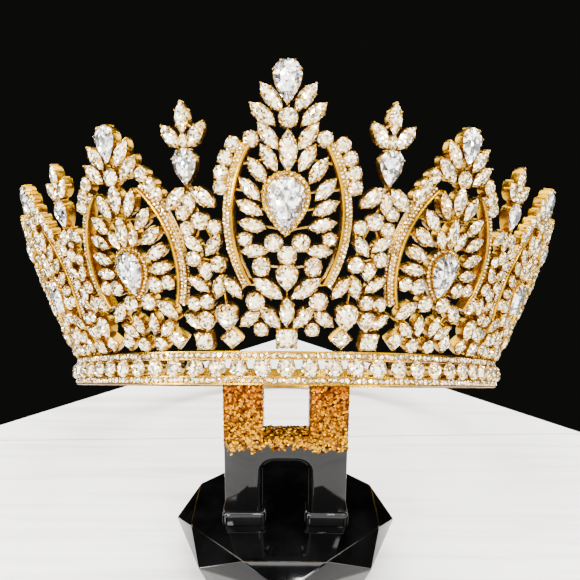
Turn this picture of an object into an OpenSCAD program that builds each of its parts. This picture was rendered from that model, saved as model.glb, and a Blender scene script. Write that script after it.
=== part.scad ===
// Bridal crown on its display stand.
// The crown stands on a round band, and its front is propped on the two posts of the stand,
// so that it leans back while the rear of the band rests on the table.
// Right-hand units lie towards +X, the front of the crown is towards -Y, and +Z is up.

/* [Band] */
// Outer radius of the band, in mm
band_r = 72; // [66:1:78]
// Height of the band
band_h = 8.6; // [7.6:0.2:9.6]
// Wall thickness of the band at its rims
band_t = 2.2; // [1.8:0.1:3]
// Depth of the channel that the round stones sit in
channel_depth = 1.0; // [0.6:0.1:1.2]
// Height of the channel
channel_h = 4.2; // [3.6:0.1:4.6]
// Number of round settings around the band
band_stones = 75; // [60:1:75]
// Diameter of a round setting on the band
band_cup_d = 4.2; // [3:0.1:4.4]
// Number of see-through gaps between the front settings
band_gaps = 40; // [20:2:60]
// Width of each of these gaps
band_gap_w = 1.1; // [0.6:0.1:1.4]

/* [Crown] */
// Lean of the crown back from the upright, in degrees
crown_tilt = 23.2; // [18:0.2:26]
// Azimuths of the arched panels on one side, from the front
panel_azimuths = [0, 29.3, 57.5, 86]; // [0:0.5:90]
// Size of each panel beside the two at the front
panel_scales = [1, 1, 0.9, 0.82]; // [0.7:0.01:1]
// Azimuths of the finials between the panels, on one side
finial_azimuths = [15.7, 43.5, 71.5, 99.5]; // [10:0.5:110]
// Size of each finial beside the one at the front
finial_scales = [1, 0.87, 0.8, 0.74]; // [0.7:0.01:1]
// Sideways shift of the lower part of each finial, which lies between two arches
finial_shifts = [-2.2, 1.3, 0.8, 0.4]; // [-3:0.1:3]
// Outward slope of the flare just above the band
flare_slope = 0.6; // [0.5:0.01:0.7]
// How fast the flare straightens with height
flare_curve = 0.0033; // [0.0025:0.0001:0.004]

/* [Settings and stones] */
// Metal around a stone in its setting
cup_margin = 0.35; // [0.25:0.05:0.5]
// Depth of a setting behind the stone
cup_depth = 2.0; // [1.6:0.1:2.4]
// Width of the pave border around each main pear
halo_margin = 1.4; // [0.8:0.1:1.6]
// Height of a stone for each mm of its width, over a first half millimetre
stone_rise = 0.3; // [0.2:0.02:0.36]
// Width of a stone's table beside its girdle
stone_table = 0.56; // [0.45:0.01:0.65]
// Gap between a stone and its setting
stone_gap = 0.12; // [0.1:0.01:0.2]
// Width of an arch rail with its pave border
rail_w = 2.3; // [2.2:0.1:3]
// How far a rail stands proud of the settings
rail_rise = 0.7; // [0.4:0.1:1]
// Width of the wires that join the settings behind
wire_w = 1.0; // [0.8:0.1:1.4]

/* [Stand] */
// Height of the base up to its flat top
base_h = 17.5; // [14:0.5:20]
// Height of the widest edge of the base
girdle_h = 13.1; // [10:0.1:14]
// Corner radius of the flat top
base_top_r = 26.9; // [24:0.1:28]
// Corner radius at the widest edge
girdle_r = 30.4; // [29:0.1:32]
// Corner radius of the foot
foot_r = 25; // [22:0.5:28]
// Thickness of the flat foot
foot_h = 1; // [0.6:0.1:2]
// Distance from the centre of the foot back to the centre of the crown
crown_back = 57.7; // [55:0.1:60]
// Width of the upright plate
upright_w = 31.8; // [28:0.2:34]
// Thickness of the upright plate
upright_t = 6.3; // [5:0.1:7]
// Width of the notch between the posts, and of the arch between the legs
notch_w = 12; // [10:0.2:14]
// Height of the notch floor above the table
notch_floor = 43; // [40:0.5:46]
// Height of the top of the arch above the table
arch_top = 35.4; // [32:0.2:38]
// Corner radius in the arch
arch_r = 3; // [2:0.2:4]
// Height of the socket round each leg
socket_h = 2.6; // [1.6:0.2:4]
// How far a socket stands out from its leg
socket_rim = 0.9; // [0.4:0.1:1.4]

/* [Hidden] */
$fn = 64;

metal = "#d9a441";
clear_stone = "#f4ece0";
resin = "#15130f";
amber = "#c98a2b";

// Gap between one piece and the next
piece_gap = 0.12;
// Width of a stone's foot beside its girdle, and height of the girdle in its rise
stone_foot = 0.55;
stone_girdle = 0.42;
// Shoulders of a marquise and waist of a pear, as parts of the width and length
marquise_shoulder = [0.37, 0.27];
pear_waist = [0.36, 0.16];
// How far a wire lies below the face of the settings, and its longest straight run
wire_sink = 0.7;
wire_run = 11;
// How far a bar runs past its ends
bar_overrun = 0.3;
// How deep a setting of the band is rooted in the channel, and how far it lies below the rims
band_cup_root = 0.3;
band_cup_sink = 0.1;
// Metal left above and below a gap in the channel
gap_rim = 0.6;
// Thickness of the flat edge round the base, and of the skins that end a hull
girdle_t = 0.4;
skin_t = 0.02;
// Corner radius of a socket
socket_r = 1.8;
// A length past every piece of the part, for the solids that trim
past_all = 200;
// Height of the crown's centre above the table, with the rear of its band on the table
crown_up = band_r * sin(crown_tilt);
// Plane of the front face of the upright, from the centre of the foot
upright_y = crown_back - 67.2;

// Cuts of the stones
ROUND = 0;
MARQUISE = 1;
PEAR = 2;
SQUARE = 3;
// Where a stone of a row goes: in the casting alone, in the field of stones, or as a main stone
SMALL = 0;
FIELD = 1;
CREST = 2;
MAIN = 3;

// Rows of a unit: offset across, height above the foot of the band, length, width,
// lean of the top away from the axis, cut, use, and 1 where the other side mirrors it.
CENTRE_ROWS = [
    [-0.2, 69.6, 10.2, 6.6, 0, PEAR, CREST, 0],
    [4, 66.2, 7.8, 3.4, 37, MARQUISE, FIELD, 1],
    [6, 62.5, 7.4, 3.4, 48, MARQUISE, FIELD, 1],
    [0, 61.6, 4.4, 4.4, 0, ROUND, SMALL, 0],
    [4.7, 57.6, 7.3, 3.2, 37, MARQUISE, FIELD, 1],
    [8.7, 57.1, 3.5, 3.5, 0, ROUND, SMALL, 1],
    [0, 54.4, 9.4, 4.1, 0, MARQUISE, FIELD, 0],
    [4.5, 52.8, 7, 3.1, 31, MARQUISE, FIELD, 1],
    [7.2, 50.1, 7, 3.1, 34, MARQUISE, FIELD, 1],
    [9, 46, 6.8, 3.1, 42, MARQUISE, FIELD, 1],
    [9.1, 41.9, 6.6, 3.1, 62, MARQUISE, FIELD, 1],
    [8.4, 38, 6.4, 3.1, 76, MARQUISE, FIELD, 1],
    [10.2, 34.9, 3.2, 3.2, 0, ROUND, SMALL, 1],
    [-0.4, 42.6, 12.8, 9, 0, PEAR, MAIN, 0],
    [3.3, 34, 4.2, 4.2, 0, ROUND, SMALL, 1],
    [0, 31.2, 4.4, 4.4, 0, ROUND, SMALL, 0],
    [7.8, 32.2, 6.3, 3, 90, MARQUISE, SMALL, 1],
    [6.3, 28.6, 4.6, 4.1, 0, ROUND, SMALL, 1],
    [0, 26.2, 6.6, 5.2, 0, PEAR, FIELD, 0],
    [4.7, 23.7, 8.4, 3.8, 54, MARQUISE, FIELD, 1],
    [7.8, 20.7, 4.3, 4.3, 0, SQUARE, SMALL, 1],
    [0, 18.2, 7.3, 3.5, 0, MARQUISE, FIELD, 0],
    [4.1, 16.9, 7.2, 3.2, 40, MARQUISE, SMALL, 1],
    [9.2, 16.6, 6, 3, -54, MARQUISE, SMALL, 1],
    [6.4, 14.1, 3.4, 3.4, 0, ROUND, SMALL, 1],
    [0, 11.9, 5, 5, 0, SQUARE, SMALL, 0],
    [13, 56, 3.2, 3.2, -30, SQUARE, SMALL, 1],
    [14.8, 53, 3.2, 3.2, -22, SQUARE, SMALL, 1],
    [15.8, 49.8, 3.2, 3.2, -12, SQUARE, SMALL, 1],
    [16, 46.7, 3.2, 3.2, -4, SQUARE, SMALL, 1]
];
SIDE_ROWS = [
    [0, 59.6, 9.3, 6, 0, PEAR, CREST, 0],
    [4.2, 56.9, 7.4, 3.4, 35, MARQUISE, FIELD, 1],
    [5.7, 53.2, 7.4, 3.4, 46, MARQUISE, FIELD, 1],
    [0, 51.7, 4.2, 4.2, 0, ROUND, SMALL, 0],
    [0, 46.5, 7.4, 3.8, 0, MARQUISE, FIELD, 0],
    [4.2, 45, 7, 3.1, 25, MARQUISE, FIELD, 1],
    [7.1, 41, 6.8, 3.1, 45, MARQUISE, FIELD, 1],
    [8.5, 37, 6.6, 3.1, 58, MARQUISE, FIELD, 1],
    [0, 38.6, 7.8, 3.6, 0, MARQUISE, FIELD, 0],
    [3.2, 37, 5.4, 2.7, 25, MARQUISE, FIELD, 1],
    [9.1, 33, 6.6, 3.1, 66, MARQUISE, FIELD, 1],
    [9, 29.2, 6.4, 3, 82, MARQUISE, FIELD, 1],
    [10.4, 25.7, 3.5, 3.5, 0, ROUND, SMALL, 1],
    [6.5, 25.4, 4, 4, 0, ROUND, SMALL, 1],
    [2.9, 21.4, 4.2, 4.2, 0, ROUND, SMALL, 1],
    [0, 28.5, 11.6, 7.8, 0, PEAR, MAIN, 0],
    [8, 19.4, 7.2, 3.5, -48, MARQUISE, FIELD, 1],
    [2.5, 15.9, 5.8, 3, 10, MARQUISE, SMALL, 1],
    [6.2, 14.6, 5.8, 2.9, 50, MARQUISE, SMALL, 1],
    [2.8, 10.9, 3.8, 3.8, 0, ROUND, SMALL, 1],
    [8.4, 11.9, 3.6, 3.6, 45, SQUARE, SMALL, 1],
    [9.2, 51.2, 3.2, 3.2, -36, SQUARE, SMALL, 1],
    [11.2, 48.6, 3.2, 3.2, -36, SQUARE, SMALL, 1],
    [12.5, 46.2, 3.2, 3.2, -32, SQUARE, SMALL, 1]
];
FINIAL_ROWS = [
    [0, 62.8, 7.4, 3.2, 0, MARQUISE, FIELD, 0],
    [3.2, 58.8, 6.8, 3.2, 36, MARQUISE, FIELD, 1],
    [0, 51.7, 8.4, 5.8, 0, PEAR, MAIN, 0],
    [3.5, 44.7, 7.2, 3.5, -49, MARQUISE, FIELD, 1]
];

// Lower part of a finial, measured across from its own middle
FINIAL_LOWER_ROWS = [
    [0, 39.4, 4, 4, 0, ROUND, SMALL, 0],
    [3.5, 37.8, 3.4, 3.4, 0, ROUND, SMALL, 1],
    [-2.6, 33.8, 6, 2.9, -38, MARQUISE, FIELD, 0],
    [2.5, 34.4, 6, 2.9, 52, MARQUISE, FIELD, 0],
    [2.8, 30.9, 3.6, 3.6, 0, ROUND, SMALL, 0],
    [-3.3, 29.4, 3.8, 3.8, 0, ROUND, SMALL, 0],
    [0.2, 27.9, 4.6, 3.4, 0, PEAR, SMALL, 0],
    [2.4, 25, 6, 2.9, 52, MARQUISE, FIELD, 0],
    [-2.6, 24.2, 5.8, 2.9, -15, MARQUISE, SMALL, 0],
    [1, 20.7, 3.6, 3.6, 0, ROUND, SMALL, 0],
    [4.6, 20.4, 3.4, 3.4, 0, ROUND, SMALL, 0],
    [2, 16.2, 5, 4.2, 0, PEAR, SMALL, 0],
    [5.4, 16.2, 5.8, 2.8, 46, MARQUISE, FIELD, 0],
    [-3.5, 17.1, 7, 5.6, 0, PEAR, FIELD, 0],
    [-3.9, 11.9, 4.2, 4.2, 0, ROUND, SMALL, 0],
    [3.6, 11.4, 4.4, 4.4, 0, SQUARE, SMALL, 0]
];

// Arch rails of a panel: radius, centre across and up, first and last angle
CENTRE_RAIL = [30.1, -16, 40.4, -32, 31];
SIDE_RAIL = [23.2, -8.4, 31.8, -29, 46];
// Straight bars in one rail
rail_steps = 7;

// Wires behind the settings: from offset and height, to offset and height
CENTRE_WIRES = [
    [0, 12, 0, 22], [0, 60, 0, 66], [3, 41, 9.1, 41.9], [0, 36.6, 8.4, 38], [4, 45, 13, 46],
    [7.8, 32.2, 13, 35.5], [4.5, 52.8, 13, 51.4], [4.7, 57.6, 13, 55.6], [4.1, 16.9, 9.2, 16.6],
    [4.1, 16.9, 6.4, 14.1], [4.7, 23.7, 11, 24.4], [0, 28, 6.3, 28.6]
];
SIDE_WIRES = [
    [0, 42, 0, 56], [2.6, 54.2, 4.2, 56.9], [4, 31.8, 9.1, 33], [3.6, 29, 14, 29.2],
    [8.5, 37, 13.6, 37.4], [0, 41, 12.4, 41.4], [0, 46.5, 10.6, 47.6], [2.9, 21.4, 6.5, 25.4],
    [6.5, 25.4, 13, 25.7], [2.9, 12, 2.9, 21.4], [6.2, 14.6, 8, 19.4], [6.2, 12, 8.4, 11.9],
    [8.4, 11.9, 6.2, 14.6], [8, 19.4, 11.6, 21]
];
FINIAL_WIRES = [[0, 41, 0, 62]];
FINIAL_LOWER_WIRES = [
    [-3.9, 11, -3.5, 17], [-3.5, 17, -3.3, 29.4], [3.6, 11, 2, 17], [2, 16.2, 5.4, 16.2],
    [1, 20.7, 4.6, 20.4], [1, 17, 1, 26], [-3.3, 29.4, 3, 30.9], [3, 30.9, 2.5, 34.4],
    [-3.3, 29.4, -2.6, 33.8], [-2.6, 33.8, 0, 39.4], [2.5, 34.4, 0, 39.4], [2.2, 25, 2.6, 30.9]
];

// Radius of the flare at a height above the foot of the band
function flare_r(z) =
    band_r - 1 + flare_slope * (z - band_h) - flare_curve * pow(max(z - band_h, 0), 2);
// Angle of the flare from the upright at that height
function flare_angle(z) = atan(flare_slope - 2 * flare_curve * (z - band_h));
// A row at the size of its unit, measured up from the top of the band
function grown(row, s) = [
    row[0] * s, band_h + (row[1] - band_h) * s, row[2] * s, row[3] * s, row[4], row[5], row[6], row[7]
];
// Both stones of a mirrored row, or the one of a single row
function both(row) = row[7] == 0 ? [row] : [
    row, [-row[0], row[1], row[2], row[3], -row[4], row[5], row[6], 0]
];
function stones_of(rows, s) = [for (row = rows) for (one = both(grown(row, s))) one];
// Rows moved sideways, with their mirrored stones written out
function shifted(rows, du) = [
    for (row = rows) for (one = both(row))
        [one[0] + du, one[1], one[2], one[3], one[4], one[5], one[6], 0]
];
function panel_rows(n) = n == 0 ? CENTRE_ROWS : SIDE_ROWS;
function finial_rows(n) = concat(FINIAL_ROWS, shifted(FINIAL_LOWER_ROWS, finial_shifts[n - 1]));
function finial_wires(n) = let (du = finial_shifts[n - 1]) concat(
    FINIAL_WIRES, [[du, FINIAL_LOWER_ROWS[0][1], 0, FINIAL_ROWS[3][1]]],
    [for (wire = FINIAL_LOWER_WIRES) [wire[0] + du, wire[1], wire[2] + du, wire[3]]]
);

// Eight points of a cut, its round end or first tip towards +Y
function cut_outline(cut, l, w) =
    cut == MARQUISE ? [
        for (k = [1, -1])
            let (shoulder = [k * marquise_shoulder[0] * w, k * marquise_shoulder[1] * l])
                each [[k * w / 2, 0], shoulder, [0, k * l / 2], [-shoulder[0], shoulder[1]]]
    ] :
    cut == PEAR ? [
        for (i = [0 : 4]) [w / 2 * cos(45 * i), (l - w) / 2 + w / 2 * sin(45 * i)],
        [-pear_waist[0] * w, -pear_waist[1] * l], [0, -l / 2], [pear_waist[0] * w, -pear_waist[1] * l]
    ] :
    cut == SQUARE ? [[w, l] / 2, [-w, l] / 2, [-w, -l] / 2, [w, -l] / 2] :
    [for (i = [0 : 7]) [w / 2 * cos(45 * i), l / 2 * sin(45 * i)]];

// Puts a shape on the flare: its X across, its Y up the flare and its Z outwards
module on_flare(u, z, lean) {
    rotate([0, 0, asin(u / flare_r(z))])
        translate([0, -flare_r(z), z])
            rotate([90 + flare_angle(z), 0, 0])
                rotate([0, 0, -lean])
                    children();
}

// Setting of one stone, a low cup with the stone's outline
module setting(row) {
    margin = row[5] == PEAR && row[6] == MAIN ? halo_margin : cup_margin;
    on_flare(row[0], row[1], row[4])
        translate([0, 0, -cup_depth])
            linear_extrude(cup_depth)
                polygon(cut_outline(row[5], row[2] + 2 * margin, row[3] + 2 * margin));
}

// One cut stone, with a flat table, a crown of facets, a girdle and a lower part
module stone(row) {
    rise = stone_rise * row[3] + 0.5;
    levels = [[stone_foot, 0], [1, stone_girdle * rise], [stone_table, rise]];
    points = [
        for (level = levels)
            for (p = cut_outline(row[5], row[2], row[3])) [p[0] * level[0], p[1] * level[0], level[1]]
    ];
    sides = [
        for (k = [0, 8]) for (i = [0 : 7])
            [k + i, k + 8 + i, k + 8 + (i + 1) % 8, k + (i + 1) % 8]
    ];
    on_flare(row[0], row[1], row[4])
        translate([0, 0, stone_gap])
            polyhedron(points = points, faces = concat(
                [[for (i = [0 : 7]) i]], sides, [[for (i = [7 : -1 : 0]) 16 + i]]
            ));
}

// Straight bar along the flare between two places, from a depth behind to a height in front
module bar(u0, z0, u1, z1, w, back, front) {
    zm = (z0 + z1) / 2;
    run = [u1 - u0, (z1 - z0) / cos(flare_angle(zm))];
    on_flare((u0 + u1) / 2, zm, atan2(run[0], run[1]))
        translate([-w / 2, -norm(run) / 2 - bar_overrun, -back])
            cube([w, norm(run) + 2 * bar_overrun, back + front]);
}

// One arch rail, a chain of short bars round an arc
module rail(r, cu, cz, from, to, s, side) {
    step = (to - from) / rail_steps;
    for (i = [0 : rail_steps - 1]) {
        a = from + i * step;
        b = a + step;
        bar(
            side * s * (cu + r * cos(a)), band_h + s * (cz + r * sin(a) - band_h),
            side * s * (cu + r * cos(b)), band_h + s * (cz + r * sin(b) - band_h),
            rail_w * s, cup_depth, rail_rise
        );
    }
}

// Wires of a unit, cut into short lengths so that they follow the flare
module wires(rows, s, sides) {
    for (row = rows, side = sides) {
        pieces = max(1, ceil(abs(row[3] - row[1]) / wire_run));
        for (i = [0 : pieces - 1]) {
            a = i / pieces;
            b = (i + 1) / pieces;
            bar(
                side * s * (row[0] + a * (row[2] - row[0])),
                max(band_h + wire_w, band_h + s * (row[1] + a * (row[3] - row[1]) - band_h)),
                side * s * (row[0] + b * (row[2] - row[0])),
                band_h + s * (row[1] + b * (row[3] - row[1]) - band_h),
                wire_w, cup_depth, -wire_sink
            );
        }
    }
}

// The casting of one arched panel
module panel_frame(n) {
    s = panel_scales[n];
    arch = n == 0 ? CENTRE_RAIL : SIDE_RAIL;
    above_band() {
        for (row = stones_of(panel_rows(n), s)) setting(row);
        for (side = [-1, 1]) rail(arch[0], arch[1], arch[2], arch[3], arch[4], s, side);
        wires(n == 0 ? CENTRE_WIRES : SIDE_WIRES, s, [-1, 1]);
    }
}

// The casting of one finial
module finial_frame(n) {
    s = finial_scales[n - 1];
    above_band() {
        for (row = stones_of(finial_rows(n), s)) setting(row);
        wires(finial_wires(n), s, [1]);
    }
}

// Trims what would reach into the band
module above_band() {
    difference() {
        union() children();
        translate([-past_all / 2, -past_all, band_h + piece_gap - past_all])
            cube(past_all);
    }
}

// The stones of a unit that have one use
module unit_stones(rows, s, use_) {
    for (row = stones_of(rows, s)) if (row[6] == use_) stone(row);
}
module panel_part(n, use_) unit_stones(panel_rows(n), panel_scales[n], use_);
module finial_part(n, use_) unit_stones(finial_rows(n), finial_scales[n - 1], use_);

// Places of units in the crown: on the right side, or mirrored to the left
module at_azimuth(azimuth, side)
    crown_place() mirror([side < 0 ? 1 : 0, 0, 0]) rotate([0, 0, azimuth]) children();
module at_panel(n, side) at_azimuth(panel_azimuths[n], side) children();
module at_finial(n, side) at_azimuth(finial_azimuths[n - 1], side) children();

// The crown's own frame, leaning back behind the stand
module crown_place() translate([0, crown_back, crown_up]) rotate([-crown_tilt, 0, 0]) children();

// The round band: two rims with a channel between them, settings, and gaps at the front
module band() {
    rim = (band_h - channel_h) / 2;
    band_cup_h = channel_depth + band_cup_root - band_cup_sink;
    color(metal) crown_place() difference() {
        union() {
            rotate_extrude($fn = 180) polygon([
                [band_r - band_t, 0], [band_r, 0], [band_r, rim], [band_r - channel_depth, rim],
                [band_r - channel_depth, band_h - rim], [band_r, band_h - rim], [band_r, band_h],
                [band_r - band_t, band_h]
            ]);
            for (i = [0 : band_stones - 1])
                rotate([0, 0, i * 360 / band_stones])
                    translate([0, -band_r + channel_depth + band_cup_root, band_h / 2])
                        rotate([90, 22.5, 0])
                            cylinder(d = band_cup_d, h = band_cup_h, $fn = 8);
        }
        for (i = [0 : band_gaps - 1])
            rotate([0, 0, (i - band_gaps / 2 + 0.5) * 360 / band_stones])
                translate([-band_gap_w / 2, -band_r - band_t, rim + gap_rim])
                    cube([band_gap_w, 3 * band_t, channel_h - 2 * gap_rim]);
    }
}

// An octagon with a corner towards the front, or turned by half a side
module octagon(r, turn) rotate([0, 0, turn]) circle(r = r, $fn = 8);

// Gem-cut base: a flat top, a wide girdle with its corners half a side round, and a flat foot
module stand_base() {
    color(resin) union() {
        linear_extrude(foot_h) octagon(foot_r, 0);
        hull() {
            translate([0, 0, base_h - skin_t]) linear_extrude(skin_t) octagon(base_top_r, 22.5);
            translate([0, 0, girdle_h - girdle_t]) linear_extrude(girdle_t) octagon(girdle_r, 0);
            translate([0, 0, foot_h]) linear_extrude(skin_t) octagon(foot_r, 0);
        }
    }
}

// Outline of a rectangle with round corners
module rounded(w, d, r) {
    square([w - 2 * r, d], center = true);
    square([w, d - 2 * r], center = true);
    for (x = [-1, 1], y = [-1, 1]) translate([x * (w / 2 - r), y * (d / 2 - r)]) circle(r);
}

// Outline of the upright: two posts over two legs, with a notch above and an arch below
module upright_outline() {
    difference() {
        translate([-upright_w / 2, base_h + piece_gap]) square([upright_w, 2 * crown_up]);
        translate([-notch_w / 2, notch_floor]) square([notch_w, 2 * crown_up]);
        translate([-notch_w / 2, 0]) square([notch_w, arch_top - arch_r]);
        translate([-notch_w / 2 + arch_r, 0]) square([notch_w - 2 * arch_r, arch_top]);
        for (side = [-1, 1])
            translate([side * (notch_w / 2 - arch_r), arch_top - arch_r]) circle(arch_r);
    }
}

// Upright plate, its posts cut along the foot of the band, and a low socket round each leg
module stand_upright() {
    leg_w = (upright_w - notch_w) / 2;
    color(amber) union() {
        difference() {
            translate([0, upright_y + upright_t, 0]) rotate([90, 0, 0])
                linear_extrude(upright_t) upright_outline();
            crown_place() translate([-past_all / 2, -past_all, -piece_gap]) cube(past_all);
        }
        for (side = [-1, 1])
            translate([side * (notch_w + leg_w) / 2, upright_y + upright_t / 2, base_h + piece_gap])
                linear_extrude(socket_h)
                    rounded(leg_w + 2 * socket_rim, upright_t + 2 * socket_rim, socket_r);
    }
}

stand_base();
stand_upright();
band();
for (n = [0 : 3], side = n == 0 ? [1] : [1, -1]) {
    suffix = str(n, n == 0 ? "" : side > 0 ? "r" : "l");
    color(metal) at_panel(n, side) panel_frame(n);
    color(clear_stone) at_panel(n, side) panel_part(n, CREST);
    color(clear_stone) at_panel(n, side) panel_part(n, MAIN);
    color(clear_stone) at_panel(n, side) panel_part(n, FIELD);
}
for (n = [1 : 4], side = [1, -1]) {
    suffix = str(n, side > 0 ? "r" : "l");
    color(metal) at_finial(n, side) finial_frame(n);
    color(clear_stone) at_finial(n, side) finial_part(n, MAIN);
    color(clear_stone) at_finial(n, side) finial_part(n, FIELD);
}
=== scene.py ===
"""A bridal crown on its display stand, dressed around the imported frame."""

import logging
import math
from dataclasses import dataclass, field, replace
from enum import Enum

import bpy
import numpy as np
from bpy.types import Material, Node, NodeSocket, Object
from mathutils import Matrix, Vector

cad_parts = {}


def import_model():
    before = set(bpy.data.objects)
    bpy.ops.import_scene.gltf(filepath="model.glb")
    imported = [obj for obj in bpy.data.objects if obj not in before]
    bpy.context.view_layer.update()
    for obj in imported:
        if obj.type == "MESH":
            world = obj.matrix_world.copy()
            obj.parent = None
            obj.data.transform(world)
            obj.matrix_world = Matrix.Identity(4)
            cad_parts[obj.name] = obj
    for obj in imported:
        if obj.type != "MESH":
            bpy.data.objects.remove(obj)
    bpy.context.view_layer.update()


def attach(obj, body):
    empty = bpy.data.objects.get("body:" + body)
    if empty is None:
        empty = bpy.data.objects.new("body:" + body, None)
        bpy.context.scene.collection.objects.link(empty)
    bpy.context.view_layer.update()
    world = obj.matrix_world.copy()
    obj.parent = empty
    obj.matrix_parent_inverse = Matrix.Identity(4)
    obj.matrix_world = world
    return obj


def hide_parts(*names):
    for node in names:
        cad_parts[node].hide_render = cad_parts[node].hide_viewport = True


LOG = logging.getLogger("crown")
MM = 0.001
STAND_SEED, BAND_SEED, FIRST_UNIT_SEED = 7, 11, 100

Triple = tuple[float, float, float]
Rgb = Triple
Point = Triple
Stops = tuple[tuple[float, Rgb], ...]
Pair = tuple[float, float]
Ends = tuple[float, float, float, float]
Faces = list[tuple[int, ...]]
Draws = np.random.Generator


class Cut(Enum):
    """The outline that a stone is cut to."""

    ROUND = 0
    MARQUISE = 1
    PEAR = 2
    SQUARE = 3


class Use(Enum):
    """What a stone is in its unit."""

    SMALL = 0
    FIELD = 1
    CREST = 2
    MAIN = 3


class Side(Enum):
    """The half of the crown that a thing stands in."""

    RIGHT = 1
    LEFT = -1


ROUND, MARQUISE, PEAR, SQUARE = Cut
SMALL, FIELD, CREST, MAIN = Use
RIGHT, LEFT = Side

# Where the prongs stand round each cut, in turns from the right-hand side
PRONG_TURNS = {
    ROUND: (0.125, 0.375, 0.625, 0.875),
    SQUARE: (0.125, 0.375, 0.625, 0.875),
    MARQUISE: (0.08, 0.25, 0.42, 0.58, 0.75, 0.92),
    PEAR: (0.04, 0.17, 0.33, 0.46, 0.75),
}
# How sharply the cuts taper to their points, and how far a square's corners are cut off
MARQUISE_TAPER = 1.75
PEAR_BELLY, PEAR_TAPER = 1.8, 0.95
SQUARE_CORNER = 0.76

# Charts of the units: offset across, height above the foot of the band, length, width,
# lean of the top away from the axis, cut, use, and 1 where the other side mirrors the stone
CENTRE_CHART = [
    (-0.2, 69.6, 10.2, 6.6, 0, PEAR, CREST, 0),
    (4, 66.2, 7.8, 3.4, 37, MARQUISE, FIELD, 1),
    (6, 62.5, 7.4, 3.4, 48, MARQUISE, FIELD, 1),
    (0, 61.6, 4.4, 4.4, 0, ROUND, SMALL, 0),
    (4.7, 57.6, 7.3, 3.2, 37, MARQUISE, FIELD, 1),
    (8.7, 57.1, 3.5, 3.5, 0, ROUND, SMALL, 1),
    (0, 54.4, 9.4, 4.1, 0, MARQUISE, FIELD, 0),
    (4.5, 52.8, 7, 3.1, 31, MARQUISE, FIELD, 1),
    (7.2, 50.1, 7, 3.1, 34, MARQUISE, FIELD, 1),
    (9, 46, 6.8, 3.1, 42, MARQUISE, FIELD, 1),
    (9.1, 41.9, 6.6, 3.1, 62, MARQUISE, FIELD, 1),
    (8.4, 38, 6.4, 3.1, 76, MARQUISE, FIELD, 1),
    (10.2, 34.9, 3.2, 3.2, 0, ROUND, SMALL, 1),
    (-0.4, 42.6, 12.8, 9, 0, PEAR, MAIN, 0),
    (3.3, 34, 4.2, 4.2, 0, ROUND, SMALL, 1),
    (0, 31.2, 4.4, 4.4, 0, ROUND, SMALL, 0),
    (7.8, 32.2, 6.3, 3, 90, MARQUISE, SMALL, 1),
    (6.3, 28.6, 4.6, 4.1, 0, ROUND, SMALL, 1),
    (0, 26.2, 6.6, 5.2, 0, PEAR, FIELD, 0),
    (4.7, 23.7, 8.4, 3.8, 54, MARQUISE, FIELD, 1),
    (7.8, 20.7, 4.5, 4.5, 0, ROUND, SMALL, 1),
    (0, 18.2, 7.3, 3.5, 0, MARQUISE, FIELD, 0),
    (4.1, 16.9, 7.2, 3.2, 40, MARQUISE, SMALL, 1),
    (9.2, 16.6, 6, 3, -54, MARQUISE, SMALL, 1),
    (6.4, 14.1, 3.4, 3.4, 0, ROUND, SMALL, 1),
    (0, 11.9, 5, 5, 0, SQUARE, SMALL, 0),
    (13, 56, 3.4, 3.4, -30, ROUND, SMALL, 1),
    (14.8, 53, 3.4, 3.4, -22, ROUND, SMALL, 1),
    (15.8, 49.8, 3.4, 3.4, -12, ROUND, SMALL, 1),
    (16, 46.7, 3.4, 3.4, -4, ROUND, SMALL, 1),
]
SIDE_CHART = [
    (0, 59.6, 9.3, 6, 0, PEAR, CREST, 0),
    (4.2, 56.9, 7.4, 3.4, 35, MARQUISE, FIELD, 1),
    (5.7, 53.2, 7.4, 3.4, 46, MARQUISE, FIELD, 1),
    (0, 51.7, 4.2, 4.2, 0, ROUND, SMALL, 0),
    (0, 46.5, 7.4, 3.8, 0, MARQUISE, FIELD, 0),
    (4.2, 45, 7, 3.1, 25, MARQUISE, FIELD, 1),
    (7.1, 41, 6.8, 3.1, 45, MARQUISE, FIELD, 1),
    (8.5, 37, 6.6, 3.1, 58, MARQUISE, FIELD, 1),
    (0, 38.6, 7.8, 3.6, 0, MARQUISE, FIELD, 0),
    (3.2, 37, 5.4, 2.7, 25, MARQUISE, FIELD, 1),
    (9.1, 33, 6.6, 3.1, 66, MARQUISE, FIELD, 1),
    (9, 29.2, 6.4, 3, 82, MARQUISE, FIELD, 1),
    (10.4, 25.7, 3.5, 3.5, 0, ROUND, SMALL, 1),
    (6.5, 25.4, 4, 4, 0, ROUND, SMALL, 1),
    (2.9, 21.4, 4.2, 4.2, 0, ROUND, SMALL, 1),
    (0, 28.5, 11.6, 7.8, 0, PEAR, MAIN, 0),
    (8, 19.4, 7.2, 3.5, -48, MARQUISE, FIELD, 1),
    (2.5, 15.9, 5.8, 3, 10, MARQUISE, SMALL, 1),
    (6.2, 14.6, 5.8, 2.9, 50, MARQUISE, SMALL, 1),
    (2.8, 10.9, 3.8, 3.8, 0, ROUND, SMALL, 1),
    (8.4, 11.9, 3.6, 3.6, 45, SQUARE, SMALL, 1),
    (9.2, 51.2, 3.4, 3.4, -36, ROUND, SMALL, 1),
    (11.2, 48.6, 3.4, 3.4, -36, ROUND, SMALL, 1),
    (12.5, 46.2, 3.4, 3.4, -32, ROUND, SMALL, 1),
]
FINIAL_CHART = [
    (0, 62.8, 7.4, 3.2, 0, MARQUISE, FIELD, 0),
    (3.2, 58.8, 6.8, 3.2, 36, MARQUISE, FIELD, 1),
    (0, 51.7, 8.4, 5.8, 0, PEAR, MAIN, 0),
    (3.5, 44.7, 7.2, 3.5, -49, MARQUISE, FIELD, 1),
]
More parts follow.
